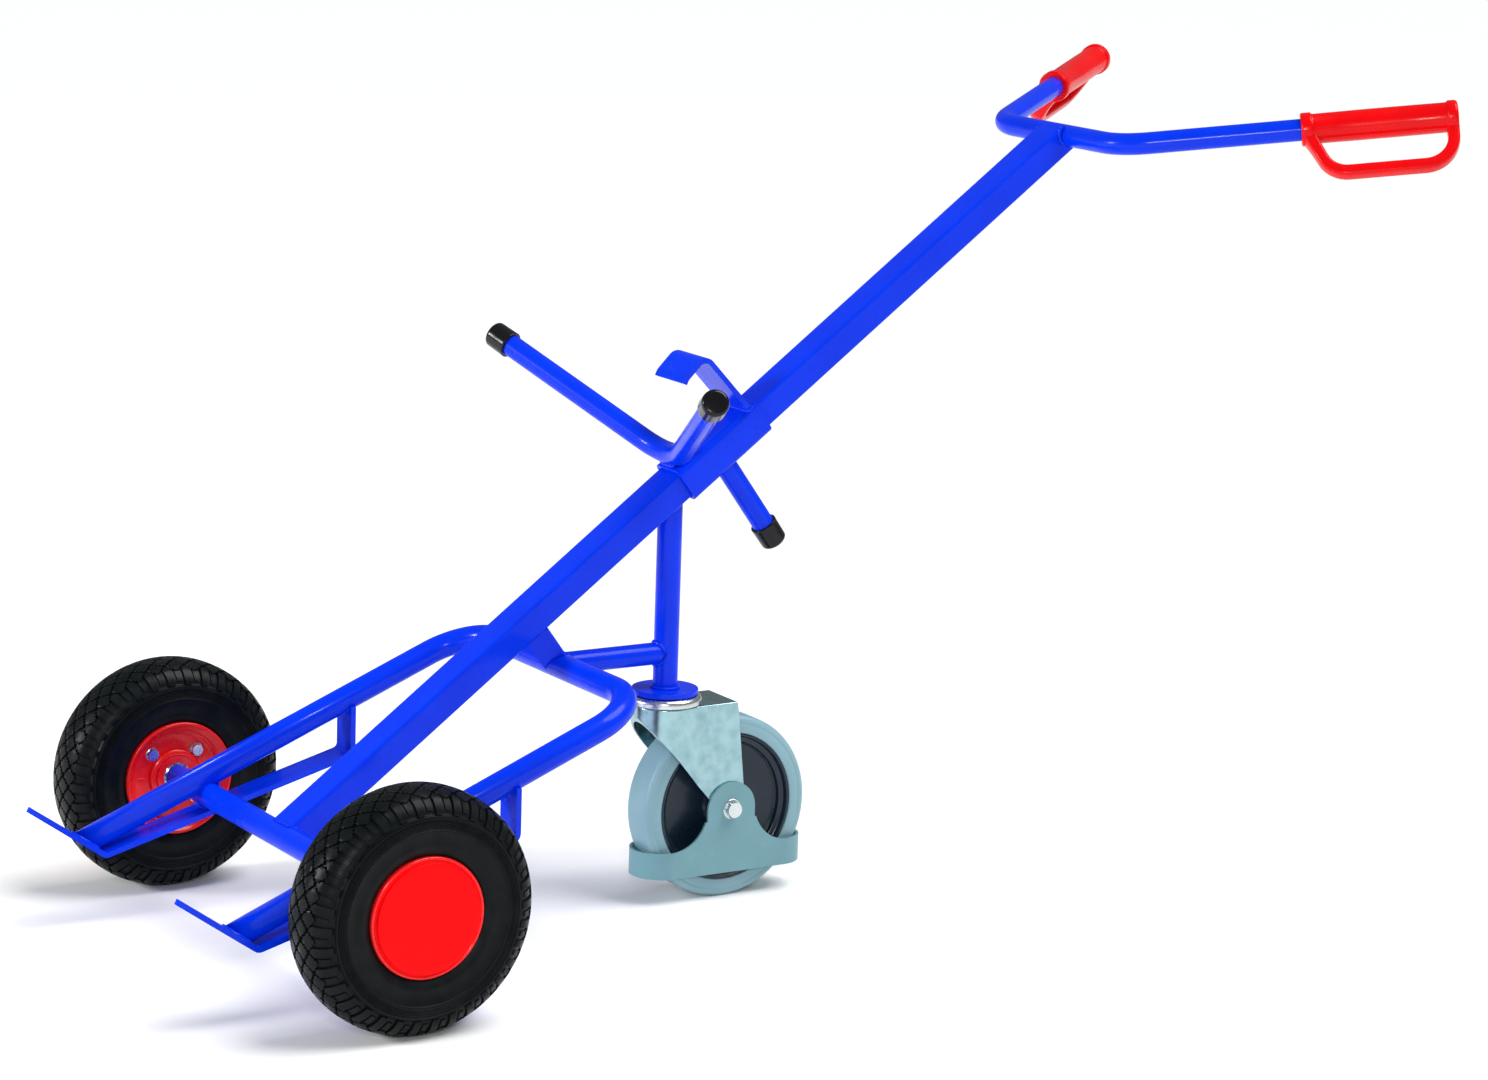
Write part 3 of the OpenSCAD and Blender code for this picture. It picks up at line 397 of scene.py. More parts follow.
def settle(mesh: bpy.types.Mesh, name: str, body: str, finish: Finish, crease: float,
           replaces: tuple[str, ...]) -> bpy.types.Object:
    """Puts a finished mesh into the scene as a piece.

    Args:
        mesh: The piece's mesh, in metres in the frame.
        name: The piece's name.
        body: The body that it rides on.
        finish: What covers it.
        crease: Angle in degrees above which an edge stays sharp.
        replaces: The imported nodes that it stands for.

    Returns:
        The piece.
    """
    for polygon in mesh.polygons:
        polygon.use_smooth = True
    mesh.set_sharp_from_angle(angle=math.radians(crease))
    mesh.materials.clear()
    mesh.materials.append(FINISHES.of(finish))
    piece = bpy.data.objects.new(name, mesh)
    bpy.context.scene.collection.objects.link(piece)
    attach(piece, body)
    if replaces:
        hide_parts(*replaces)
    log.info("%s: %d faces on %s", name, len(mesh.polygons), body)
    return piece


def softened(node: str, body: str, finish: Finish, width: float, segments: int = 3) -> bpy.types.Object:
    """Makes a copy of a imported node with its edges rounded, as cut and painted metal has them.

    Args:
        node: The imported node.
        body: The body that it rides on.
        finish: What covers it.
        width: Width of the rounding, in millimetres.
        segments: Number of segments across the rounding.

    Returns:
        The rounded piece.
    """
    mesh = frame["nodes"][node].data.copy()
    mesh.name = "soft_" + node
    tidy = bmesh.new()
    tidy.from_mesh(mesh)
    bmesh.ops.remove_doubles(tidy, verts=tidy.verts, dist=0.000002)
    bmesh.ops.dissolve_limit(tidy, angle_limit=math.radians(0.5), verts=tidy.verts, edges=tidy.edges)
    tidy.to_mesh(mesh)
    tidy.free()
    if mesh.has_custom_normals:
        mesh.attributes.remove(mesh.attributes["custom_normal"])
    piece = settle(mesh, "soft_" + node, body, finish, 40.0, (node,))
    bevel = piece.modifiers.new("rounded_edges", "BEVEL")
    bevel.width = width * MM
    bevel.segments = segments
    bevel.limit_method = "ANGLE"
    bevel.angle_limit = math.radians(32)
    bevel.use_clamp_overlap = True
    bevel.harden_normals = True
    return piece


def circle(radius: float, steps: int) -> Outline:
    """Returns the points of a circle round the origin."""
    turns = [math.tau * i / steps for i in range(steps)]
    return [(radius * math.cos(a), radius * math.sin(a)) for a in turns]


def arc(centre: tuple[float, float], radius: float, start: float, end: float, steps: int) -> Outline:
    """Returns the points of an arc.

    Args:
        centre: Its middle.
        radius: Its radius.
        start: First angle, in degrees.
        end: Last angle, in degrees.
        steps: Number of segments.

    Returns:
        The points from the first angle to the last.
    """
    turns = [math.radians(start + (end - start) * i / steps) for i in range(steps + 1)]
    return [(centre[0] + radius * math.cos(a), centre[1] + radius * math.sin(a)) for a in turns]


def run(moves: list[tuple[float, float, float]], step: float = 4.0) -> list[Point]:
    """Lays a path of straights and arcs in the XY plane, from the origin along +X.

    Args:
        moves: Length of each straight, then the turn in degrees and the radius of the arc after it.
        step: Angle between the points of an arc, in degrees.

    Returns:
        The path's points.
    """
    here, heading, path = Vector((0, 0, 0)), 0.0, [Vector((0, 0, 0))]
    for length, turn, radius in moves:
        ahead = Vector((math.cos(heading), math.sin(heading), 0))
        here = here + ahead * length
        path.append(here.copy())
        if not turn:
            continue
        side = math.copysign(1.0, turn)
        centre = here + Vector((-ahead.y, ahead.x, 0)) * (side * radius)
        count = max(int(abs(turn) / step), 1)
        for i in range(1, count + 1):
            a = heading + math.radians(turn) * i / count
            path.append(centre + Vector((math.sin(a), -math.cos(a), 0)) * (side * radius))
        heading += math.radians(turn)
        here = path[-1].copy()
    return path


def turn(degrees: float, axis: str) -> Matrix:
    """Returns a turn about an axis, in degrees."""
    return Matrix.Rotation(math.radians(degrees), 4, axis)


def shift(x: float, y: float, z: float) -> Matrix:
    """Returns a shift in millimetres."""
    return Matrix.Translation((x, y, z))


def evenly(path: list[Point], gap: float) -> list[Point]:
    """Returns a path with points added so that none are further apart than the gap."""
    out = [path[0]]
    for a, b in zip(path, path[1:]):
        count = max(int((b - a).length / gap), 1)
        out += [a.lerp(b, i / count) for i in range(1, count + 1)]
    return out


def side_name(side: int) -> str:
    """Returns the name of a side, -1 for the left one and 1 for the right one."""
    return "right" if side > 0 else "left"


def cut(piece: bpy.types.Object, point: Point, outward: Point) -> None:
    """Cuts off what lies beyond a plane and closes the cut.

    Args:
        piece: The piece that is cut.
        point: A point on the plane, in millimetres.
        outward: The side that goes.
    """
    mesh = bmesh.new()
    mesh.from_mesh(piece.data)
    everything = mesh.verts[:] + mesh.edges[:] + mesh.faces[:]
    done = bmesh.ops.bisect_plane(mesh, geom=everything, plane_co=point * MM, plane_no=outward,
                                  clear_outer=True)
    rim = [e for e in done["geom_cut"] if isinstance(e, bmesh.types.BMEdge)]
    bmesh.ops.edgeloop_fill(mesh, edges=rim)
    mesh.to_mesh(piece.data)
    mesh.free()


@dataclass
class Layout:
    """Where the truck's main lines are, in millimetres."""

    mast_angle: float = 36.5
    mast_drop: float = 4.0
    mast_length: float = 1218.0
    mast_half_w: float = 21.0
    mast_half_d: float = 16.0
    bar_rise: float = 9.1
    axle_y: float = 0.0
    axle_z: float = 0.0
    track_half: float = 0.0
    swivel_y: float = 0.0
    castor_y: float = 0.0
    castor_z: float = 0.0

    def __post_init__(self) -> None:
        """Reads the axles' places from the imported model."""
        self.axle_y, self.axle_z = self.middle("axle_tube")[1:]
        self.track_half = self.middle("tyre_right")[0]
        self.swivel_y = self.middle("castor_stud")[1]
        self.castor_y, self.castor_z = self.middle("castor_tread")[1:]

    def middle(self, node: str) -> tuple[float, float, float]:
        """Returns the middle of a node's box."""
        low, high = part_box(node)
        return tuple((a + b) / 2 / MM for a, b in zip(low, high))

    def wheel(self, side: int) -> Matrix:
        """Returns a wheel's place, with Z outboard from its middle plane."""
        return shift(side * self.track_half, self.axle_y, self.axle_z) @ turn(side * 90, "Y")

    def mast(self, s: float, n: float) -> Matrix:
        """Returns a place s up the mast and n above its middle line."""
        slope = shift(0, self.axle_y, self.axle_z) @ turn(self.mast_angle, "X")
        return slope @ shift(0, s, n - self.mast_drop)

    def bar(self) -> Matrix:
        """Returns the handlebar's plane, with X sideways and Y back and a little up."""
        angle = math.radians(self.mast_angle)
        y = self.mast_length * math.cos(angle) + self.mast_drop * math.sin(angle)
        z = self.mast_length * math.sin(angle) - self.mast_drop * math.cos(angle)
        return shift(0, self.axle_y + y, self.axle_z + z) @ turn(self.bar_rise, "X")

    def castor(self) -> Matrix:
        """Returns the castor wheel's place, with Z along its axle towards +X."""
        return shift(0, self.castor_y, self.castor_z) @ turn(90, "Y")


# ---------- pneumatic wheels ----------

@dataclass
class Tyre:
    """A block-tread tyre on a two-piece pressed rim, and how it is made."""

    layout: Layout
    side: int
    outer_r: float = 130.0
    half_w: float = 41.5
    bead_r: float = 50.8
    power: float = 2.5
    tread_depth: float = 2.8
    pitches: int = 34
    diamond_rows: tuple[float, ...] = (-21.6, -10.8, 0.0, 10.8, 21.6)
    diamond_half: float = 9.2
    diamond_long: float = 10.4
    lug_start: float = 26.5
    lug_end: float = 49.0

    @property
    def tag(self) -> str:
        """Returns the side's name."""
        return side_name(self.side)

    @property
    def body(self) -> str:
        """Returns the body that the wheel's pieces ride on."""
        return self.tag + "_wheel"

    def section(self) -> list[tuple[float, float, float]]:
        """Returns points of half the outer section: arc length from the crown, radius and height."""
        mid, half = (self.outer_r + self.bead_r) / 2, (self.outer_r - self.bead_r) / 2
        rows, length, last = [], 0.0, None
        for i in range(241):
            a = math.radians(90 - i * 0.56)
            r = mid + half * math.copysign(abs(math.sin(a)) ** (2 / self.power), math.sin(a))
            z = self.half_w * abs(math.cos(a)) ** (2 / self.power)
            length += math.hypot(r - last[0], z - last[1]) if last else 0.0
            last = (r, z)
            rows.append((length, r, z))
        return rows

    def surface(self, rows: list[tuple[float, float, float]], angle: float, across: float,
                height: float) -> Point:
        """Finds a point on or near the tyre's outside.

        Args:
            rows: The outer section, from section().
            angle: Angle round the axle, in radians.
            across: Arc length from the crown, positive outboard.
            height: Distance out from the outer section.

        Returns:
            The point in the wheel's own place.
        """
        reach = min(abs(across), rows[-2][0])
        i = next((k for k in range(1, len(rows) - 1) if rows[k][0] >= reach), len(rows) - 2)
        (l0, r0, z0), (l1, r1, z1) = rows[i - 1], rows[i]
        t = (reach - l0) / max(l1 - l0, 1e-9)
        r, z = r0 + (r1 - r0) * t, z0 + (z1 - z0) * t
        i0, i1 = max(i - 3, 0), min(i + 3, len(rows) - 1)
        dr, dz = rows[i1][1] - rows[i0][1], rows[i1][2] - rows[i0][2]
        size = math.hypot(dr, dz)
        out_r, out_z = (1.0, 0.0) if reach < 0.5 else (dz / size, -dr / size)
        sign = 1.0 if across >= 0 else -1.0
        r, z = r + out_r * height, sign * (z + out_z * height)
        return Vector((r * math.cos(angle), r * math.sin(angle), z))

    def block(self, shape: Shape, rows: list, angle: float, across: float, outline: Outline,
              height: float) -> None:
        """Raises one tread block from the groove's bottom, with its top edge rounded.

        Args:
            shape: What the block is added to.
            rows: The outer section.
            angle: Where the block's middle is, round the axle.
            across: Where its middle is, across the tyre.
            outline: The block's outline: length round the tyre and length across it.
            height: How far its top is from the outer section.
        """
        rings = [(1.05, -self.tread_depth - 0.6), (1.0, height - 0.7), (0.975, height - 0.25), (0.93, height)]
        points, m = [], len(outline)
        for share, h in rings:
            for u, v in outline:
                points.append(self.surface(rows, angle + u * share / self.outer_r, across + v * share, h))
        inner = 0.5
        for u, v in outline:
            points.append(self.surface(rows, angle + u * inner / self.outer_r, across + v * inner, height))
        points.append(self.surface(rows, angle, across, height))
        faces = []
        for ring in range(len(rings)):
            for j in range(m):
                k = (j + 1) % m
                faces.append((ring * m + j, ring * m + k, (ring + 1) * m + k, (ring + 1) * m + j))
        top = len(rings) * m
        faces += [(top + j, top + (j + 1) % m, top + m) for j in range(m)]
        shape.add(points, faces, self.layout.wheel(self.side))

    def diamond(self) -> Outline:
        """Returns a diamond outline whose sides step in and out like a zigzag sipe."""
        corners = [(self.diamond_long, 0.0), (0.0, self.diamond_half),
                   (-self.diamond_long, 0.0), (0.0, -self.diamond_half)]
        outline, steps, jag = [], 6, 0.65
        for i, (u0, v0) in enumerate(corners):
            u1, v1 = corners[(i + 1) % 4]
            size = math.hypot(u1 - u0, v1 - v0)
            nu, nv = (v1 - v0) / size, (u0 - u1) / size
            for j in range(steps):
                t = (j + 0.35) / steps * 0.9 + 0.05
                push = jag if j % 2 else -jag
                outline.append((u0 + (u1 - u0) * t + nu * push, v0 + (v1 - v0) * t + nv * push))
        return outline

    def lug(self, width_top: float, width_foot: float, start: float, end: float) -> Outline:
        """Returns a shoulder lug's outline, from its crown end to its sidewall end.

        Args:
            width_top: Half width at the crown end.
            width_foot: Half width at the sidewall end.
            start: Distance of the crown end from the lug's middle, across the tyre.
            end: Distance of the sidewall end from the lug's middle.

        Returns:
            The outline, with points along its sides so that it follows the shoulder.
        """
        steps = 7
        one = [(-width_top + (width_top - width_foot) * i / steps, start + (end - start) * i / steps)
               for i in range(steps + 1)]
        point = [(0.0, start - 3.2)]
        return point + [(-u, v) for u, v in one] + [(u, v) for u, v in reversed(one)]

    def tread(self, shape: Shape, rows: list) -> None:
        """Adds the crown's diamonds and the shoulders' long and short lugs."""
        pitch = math.tau / self.pitches
        zigzag = self.diamond()
        middle = (self.lug_start + self.lug_end) / 2
        half = (self.lug_end - self.lug_start) / 2
        long_lug, short_lug = (0.0, 5.4, 4.3, half, 0.0), (0.5, 4.3, 3.0, half - 5, -1.5)
        for i in range(self.pitches):
            for row, across in enumerate(self.diamond_rows):
                self.block(shape, rows, (i + 0.5 * (row % 2)) * pitch, across, zigzag, 0.0)
            for side in (-1, 1):
                for offset, top, foot, end, height in (long_lug, short_lug):
                    outline = [(u, v * side) for u, v in self.lug(top, foot, -half, end)]
                    if side > 0:
                        outline = outline[::-1]
                    self.block(shape, rows, (i + 0.5 + offset) * pitch, side * middle, outline, height)

    def relief(self, reach: float) -> float:
        """Returns the carcass's height against the outer section at an arc length from the crown."""
        if reach < self.lug_end - 1.0:
            return -self.tread_depth
        if reach < self.lug_end + 2.0:
            return -self.tread_depth * (self.lug_end + 2.0 - reach) / 3.0
        rib = reach - self.lug_end - 3.0
        if 0.0 <= rib < 2.2:
            return 0.4
        if 3.0 <= rib < 11.25:
            return -1.0 + 0.85 * abs(math.sin(math.pi * (rib - 3.0) / 1.65))
        if 12.0 <= rib < 13.6:
            return -0.1
        return -0.8 - 1.6 * math.sin(math.pi * min(max(rib - 13.6, 0.0) / 17.0, 1.0))

    def build(self) -> None:
        """Makes the tyre: its ribbed carcass and its tread blocks."""
        rows = self.section()
        steps = [i * 0.55 for i in range(int(rows[-2][0] / 0.55))]
        bead = 65.6
        wall = []
        for s in steps:
            p = self.surface(rows, 0.0, s, self.relief(s))
            if p.x > bead:
                wall.append((p.x, p.z))
        profile = [(r, -z) for r, z in reversed(wall)] + wall[1:]
        lip = wall[-1]
        inner = [(64.6, lip[1] - 1.4), (64.6, 33.5), (62.0, 30.4), (60.0, 29.5)]
        profile += inner + [(r, -z) for r, z in reversed(inner)]
        shape = Shape()
        shape.lathe(profile, 204, self.layout.wheel(self.side))
        self.tread(shape, rows)
        node = "tyre_" + self.tag
        shape.piece("tread_" + node, self.body, FINISHES.tyre_rubber, 38.0, (node,))


@dataclass
class Rim:
    """The two pressed halves of a rim, with the hub's boss and the plain cap."""

    layout: Layout
    side: int
    cap_face: float = 41.2
    cap_ring: float = 37.0
    cap_r: float = 61.5
    disc_r: float = 58.4

    @property
    def tag(self) -> str:
        """Returns the side's name."""
        return side_name(self.side)

    def build(self) -> None:
        """Makes both halves and the cap."""
        place, body = self.layout.wheel(self.side), self.tag + "_wheel"
        lip = arc((61.9, -36.0), 2.1, 20, -150, 8)
        dish = [(57.2, -34.6), (54.6, -33.0), (53.2, -31.0), (52.4, -28.0), (50.8, -22.8), (49.2, -21.9),
                (47.0, -21.6), (33.2, -21.6), (31.8, -22.2), (31.0, -24.6), (30.2, -27.2), (28.8, -28.4),
                (26.6, -28.9), (24.5, -28.9), (24.5, -19.1)]
        back = [(50.8, -19.1), (50.8, -31.0), (56.0, -31.0), (64.0, -33.4)]
        inner = Shape()
        inner.lathe(lip + dish + back, 128, place)
        inner.piece("pressed_rim_inner_" + self.tag, body, FINISHES.red_paint, 30.0,
                    ("rim_inner_" + self.tag,))
        outer = Shape()
        lip = arc((61.9, 36.0), 2.1, -20, 150, 8)
        web = [(58.0, 34.4), (54.6, 33.0), (52.8, 30.0), (49.0, 28.0), (48.2, 20.0), (48.0, -16.6),
               (24.5, -16.6), (24.5, -18.9), (50.8, -18.9), (50.8, 31.0), (56.0, 31.0), (64.0, 33.4)]
        outer.lathe((lip + web)[::-1], 128, place)
        outer.piece("pressed_rim_outer_" + self.tag, body, FINISHES.red_paint, 30.0,
                    ("rim_outer_" + self.tag,))
        self.cap(place, body)
        self.slits(place, body)

    def cap(self, place: Matrix, body: str) -> None:
        """Makes the plain cap, with its raised face and the step round it."""
        face, ring, disc_r = self.cap_face, self.cap_ring, self.disc_r
        profile = [(0.0, 34.6), (55.0, 34.2), (55.0, 33.6), (self.cap_r, 33.6)]
        profile += arc((self.cap_r - 0.8, ring - 0.8), 0.8, 0, 90, 4)
        profile += [(disc_r + 1.0, ring + 0.05), (disc_r + 0.35, ring + 0.5), (disc_r + 0.1, face - 1.7)]
        profile += arc((disc_r - 1.5, face - 1.55), 1.5, 0, 82, 6)
        profile += [(50.0, face + 0.08), (30.0, face + 0.22), (0.0, face + 0.3)]
        shape = Shape()
        shape.lathe(profile, 160, place, closed=False)
        shape.piece("plain_cap_" + self.tag, body, FINISHES.red_cap, 32.0, ("hub_cap_" + self.tag,))

    def slits(self, place: Matrix, body: str) -> None:
        """Adds the pressed ribs between the bolts on the rim's inboard face."""
        shape = Shape()
        for i in range(4):
            path = [Vector((r, 0, -21.7)) for r in (35.0, 37.0, 40.0, 43.0, 45.5)]
            swell = [(0.2, 0.2), (0.9, 0.9), (1.0, 1.0), (0.9, 0.9), (0.2, 0.2)]
            shape.sweep(path, Vector((0, 0, 1)), circle(1.1, 12), place @ turn(90 * i, "Z"), swell=swell)
        shape.piece("rim_ribs_" + self.tag, body, FINISHES.red_paint)


@dataclass
class HexBolt:
    """A hexagon head with a chamfered face, and its washer."""

    across: float
    height: float
    washer_r: float = 0.0

    def add(self, shape: Shape, place: Matrix) -> None:
        """Adds the head to a shape, rising along the place's Z."""
        corner = self.across / math.sqrt(3)
        half = self.across / 2
        rings = []
        for z, mix in ((0.0, 0.0), (self.height * 0.72, 0.0), (self.height, 1.0)):
            ring = []
            for i in range(48):
                a = math.tau * i / 48
                local = (a + math.pi / 6) % (math.pi / 3) - math.pi / 6
                hexagon = half / math.cos(local)
                limit = corner - (corner - half) * mix - 0.25 * mix
                ring.append((min(hexagon, limit) * math.cos(a), min(hexagon, limit) * math.sin(a), z))
            rings.append(ring)
        points = [Vector(p) for ring in rings for p in ring]
        points += [Vector((0, 0, self.height)), Vector((0, 0, 0))]
        faces = []
        for k in range(2):
            faces += [(k * 48 + i, k * 48 + (i + 1) % 48, (k + 1) * 48 + (i + 1) % 48, (k + 1) * 48 + i)
                      for i in range(48)]
        faces += [(96 + i, 96 + (i + 1) % 48, 144) for i in range(48)]
        faces += [((i + 1) % 48, i, 145) for i in range(48)]
        shape.add(points, faces, place)
        if self.washer_r:
            ring = [(self.washer_r, -0.2), (self.washer_r, 0.9), (self.washer_r - 0.3, 1.2),
                    (0.0, 1.2), (0.0, -0.2)]
            shape.lathe(ring, 40, place)


# ---------- handlebar and grips ----------

@dataclass
class Handlebar:
    """The bent bar and its two grips with finger guards."""

    layout: Layout
    bend_spacing: float = 236.0
    arm: float = 379.0
    splay: float = 35.9
    bend_r: float = 62.0
    tube_r: float = 12.5
    grip_length: float = 176.0
    grip_r: float = 17.0
    collar_r: float = 19.0
    collar_length: float = 13.0
    guard_reach: float = 58.5
    guard_depth: float = 13.5
    guard_width: float = 18.0
    guard_drop: float = 50.0
    guard_slant: float = 66.0
    guard_front_r: float = 30.0
    guard_back_r: float = 34.0

    def build(self) -> None:
        """Makes the bar and the grips."""
        bar_turn = 90 - self.splay
        tangent = self.bend_r * math.tan(math.radians(bar_turn / 2))
        moves = [(self.arm - 5.0 - tangent, bar_turn, self.bend_r),
                 (self.bend_spacing - 2 * tangent, bar_turn, self.bend_r), (self.arm - 5.0 - tangent, 0, 0)]
        place = self.layout.bar() @ shift(-self.bend_spacing / 2, 0, 0) @ turn(90 + self.splay, "Z")
        place = place @ shift(self.arm - 5.0, 0, 0) @ turn(180, "Z")
        shape = Shape()
        shape.sweep(run(moves), Vector((0, 0, 1)), circle(self.tube_r, 40), place)
        shape.piece("drawn_handlebar", "frame", FINISHES.blue_paint, 40.0, ("handlebar",))
        for side in (-1, 1):
            self.grip(side)

    def grip(self, side: int) -> None:
        """Makes one grip, on the left for -1 and on the right for 1."""
        mirrored = Matrix.Scale(side, 4, (1, 0, 0))
        place = mirrored @ self.layout.bar() @ shift(self.bend_spacing / 2, 0, 0) @ turn(90 - self.splay, "Z")
        place = place @ shift(self.arm - self.grip_length, 0, 0) @ turn(180 + self.guard_drop, "X")
        along = place @ turn(90, "Y")
        length, body_r, collar, band = self.grip_length, self.grip_r, self.collar_r, self.collar_length
        front = [(self.tube_r + 0.1, 0.0), (collar - 2.4, 0.0)] + arc((collar - 2.0, 2.0), 2.0, -80, 0, 5)
        front += arc((collar - 1.2, band - 2.2), 1.2, 0, 70, 4)
        front += [(body_r + 0.45, band - 0.5), (body_r, band + 1.2)]
        back = arc((collar - 1.2, length - band + 2.2), 1.2, -70, 0, 4)
        back = [(body_r, length - band - 1.2), (body_r + 0.45, length - band + 0.5)] + back
        back += arc((collar - 4.0, length - 4.4), 4.0, 0, 78, 8)
        back += [(collar - 9.0, length - 0.1), (0.0, length)]
        waist = [(body_r + 0.25, length * 0.35), (body_r + 0.25, length * 0.65)]
        profile = front + waist + back + [(0.0, length - 4.0), (self.tube_r + 0.1, length - 4.0)]
        shape = Shape()
        shape.lathe(profile, 96, along)
        shape.sweep(*self.guard_path(), place=place, swell=self.guard_swell())
        node = "grip_" + side_name(side)
        shape.piece("moulded_" + node, "frame", FINISHES.red_grip, 40.0, (node,))

    def guard_line(self) -> list[Point]:
        """Returns the guard's middle line, in the plane of the guard."""
        root, rad = self.grip_r - 3.0, math.radians(self.guard_slant)
        start = Vector((self.collar_length - 3.0, root, 0))
        rise = (self.guard_reach - root - self.guard_front_r * (1 - math.cos(rad))) / math.sin(rad)
        x_front = start.x + rise * math.cos(rad) + self.guard_front_r * math.sin(rad)
        straight = self.grip_length - self.guard_depth / 2 - 0.6 - self.guard_back_r - x_front
        moves = [(rise, -self.guard_slant, self.guard_front_r), (straight, -90.0, self.guard_back_r),
                 (self.guard_reach - self.guard_back_r - root, 0, 0)]
        slope = shift(*start) @ turn(self.guard_slant, "Z")
        return [slope @ p for p in evenly(run(moves, 5.0), 3.0)]

    def guard_path(self) -> tuple[list[Point], Point, Outline]:
        """Returns the guard's middle line, its upward direction and its rounded section."""
        wide, high, power = self.guard_depth / 2, self.guard_width / 2, 2 / 4.2
        section = []
        for i in range(32):
            a = math.tau * i / 32
            c, s = math.cos(a), math.sin(a)
            section.append((wide * math.copysign(abs(c) ** power, c),
                            high * math.copysign(abs(s) ** power, s)))
        return self.guard_line(), Vector((0, 0, 1)), section

    def guard_swell(self) -> list[tuple[float, float]]:
        """Returns the guard's swelling towards its two roots, point by point."""
        count = len(self.guard_line())
        out = []
        for i in range(count):
            t = i / (count - 1)
            root = max(0.0, 1 - t / 0.12) ** 2 + 0.5 * max(0.0, 1 - (1 - t) / 0.08) ** 2
            out.append((1.0 + 0.16 * root, 0.98 + 0.30 * root))
        return out


# ---------- frame ----------

@dataclass
class TubeFrame:
    """The bent frame tube, the mast, the toe strips and the tubes round them."""

    layout: Layout
    tube_r: float = 14.0
    light_r: float = 12.5
    leg_spacing: float = 383.0
    leg_angle: float = 22.2
    leg_rise: float = 20.6
    depth: float = 332.0
    wall: float = 2.5
    bend_r: float = 62.0
    toe_reach: float = 126.0
    prong_angle: float = 34.6
    strip_angle: float = 15.2
    strip_t: float = 6.0

    @property
    def cross_z(self) -> float:
        """Returns the height of the frame tube's cross part above the axle."""
        return self.leg_rise + self.depth * math.tan(math.radians(self.leg_angle))

    def build(self) -> None:
        """Makes the frame's pieces."""
        self.frame_tube()
        blue = FINISHES.blue_paint
        for node in ("toe_strip_left", "toe_strip_right"):
            softened(node, "frame", blue, 0.9)
        softened("mast_bracket", "frame", blue, 0.7)
        softened("mast", "frame", blue, 0.5, 2)
        softened("castor_plate", "frame", blue, 0.8)
        self.axle_tube()
        self.castor_post()
        self.castor_strut()

    def axle_tube(self) -> None:
        """Makes the axle tube, open at both ends."""
        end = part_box("axle_tube")[1][0] / MM
        outer, bore, bevel = self.tube_r, self.tube_r - self.wall, 0.6
        profile = [(bore, -end), (outer - bevel, -end), (outer, -end + bevel)]
        profile += [(outer, end - bevel), (outer - bevel, end), (bore, end)]
        tube = Shape()
        tube.lathe(profile, 56, shift(0, self.layout.axle_y, self.layout.axle_z) @ turn(90, "Y"))
        tube.piece("drawn_axle_tube", "frame", FINISHES.blue_paint, 40.0, ("axle_tube",))

    def castor_post(self) -> None:
        """Makes the castor's post and ends it under the mast."""
        lay, gap, spare = self.layout, 0.2, 400.0
        slope = math.radians(lay.mast_angle)
        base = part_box("castor_post")[0][2] / MM
        under = lay.mast(0.0, -(lay.mast_half_d + gap)).to_translation()
        post = Shape()
        ends = [Vector((0, lay.swivel_y, z)) for z in (base, base + spare)]
        post.sweep(ends, Vector((0, 1, 0)), circle(self.tube_r, 48))
        tube = post.piece("drawn_castor_post", "frame", FINISHES.blue_paint, 40.0, ("castor_post",))
        cut(tube, under, Vector((0, -math.sin(slope), math.cos(slope))))

    def castor_strut(self) -> None:
        """Makes the strut between the frame tube's cross part and the castor's post."""
        lay, sunk = self.layout, 3.0
        height = lay.axle_z + self.cross_z
        ends = (lay.axle_y + self.depth + self.tube_r - sunk, lay.swivel_y - self.tube_r + sunk)
        strut = Shape()
        strut.sweep([Vector((0, y, height)) for y in ends], Vector((0, 0, 1)), circle(self.light_r, 44))
        strut.piece("drawn_castor_strut", "frame", FINISHES.blue_paint, 40.0, ("castor_strut",))

    def toe_bend(self, x: float) -> Point:
        """Returns the middle of a toe strip's bend at a distance across the truck."""
        strip = math.radians(self.strip_angle)
        down = -(self.tube_r + 0.2 + self.strip_t / 2) / math.cos(strip)
        down -= self.toe_reach * math.tan(strip)
        return Vector((x, self.layout.axle_y - self.toe_reach, self.layout.axle_z + down))

    def frame_tube(self) -> None:
        """Makes the bent frame tube and ends its legs on the prongs."""
        leg = (self.depth + self.toe_reach + 40) / math.cos(math.radians(self.leg_angle)) - self.bend_r
        moves = [(leg, -90, self.bend_r), (self.leg_spacing - 2 * self.bend_r, -90, self.bend_r), (leg, 0, 0)]
        place = shift(-self.leg_spacing / 2, self.layout.axle_y + self.depth,
                      self.layout.axle_z + self.cross_z)
        place = place @ turn(self.leg_angle, "X") @ shift(0, -leg - self.bend_r, 0) @ turn(90, "Z")
        shape = Shape()
        shape.sweep(run(moves), Vector((0, 0, 1)), circle(self.tube_r, 44), place)
        tube = shape.piece("drawn_frame_tube", "frame", FINISHES.blue_paint, 40.0, ("u_frame",))
        prong = math.radians(self.prong_angle)
        face = Vector((0, math.sin(prong), math.cos(prong)))
        cut(tube, self.toe_bend(0.0) + face * (self.strip_t / 2 + 0.2), -face)


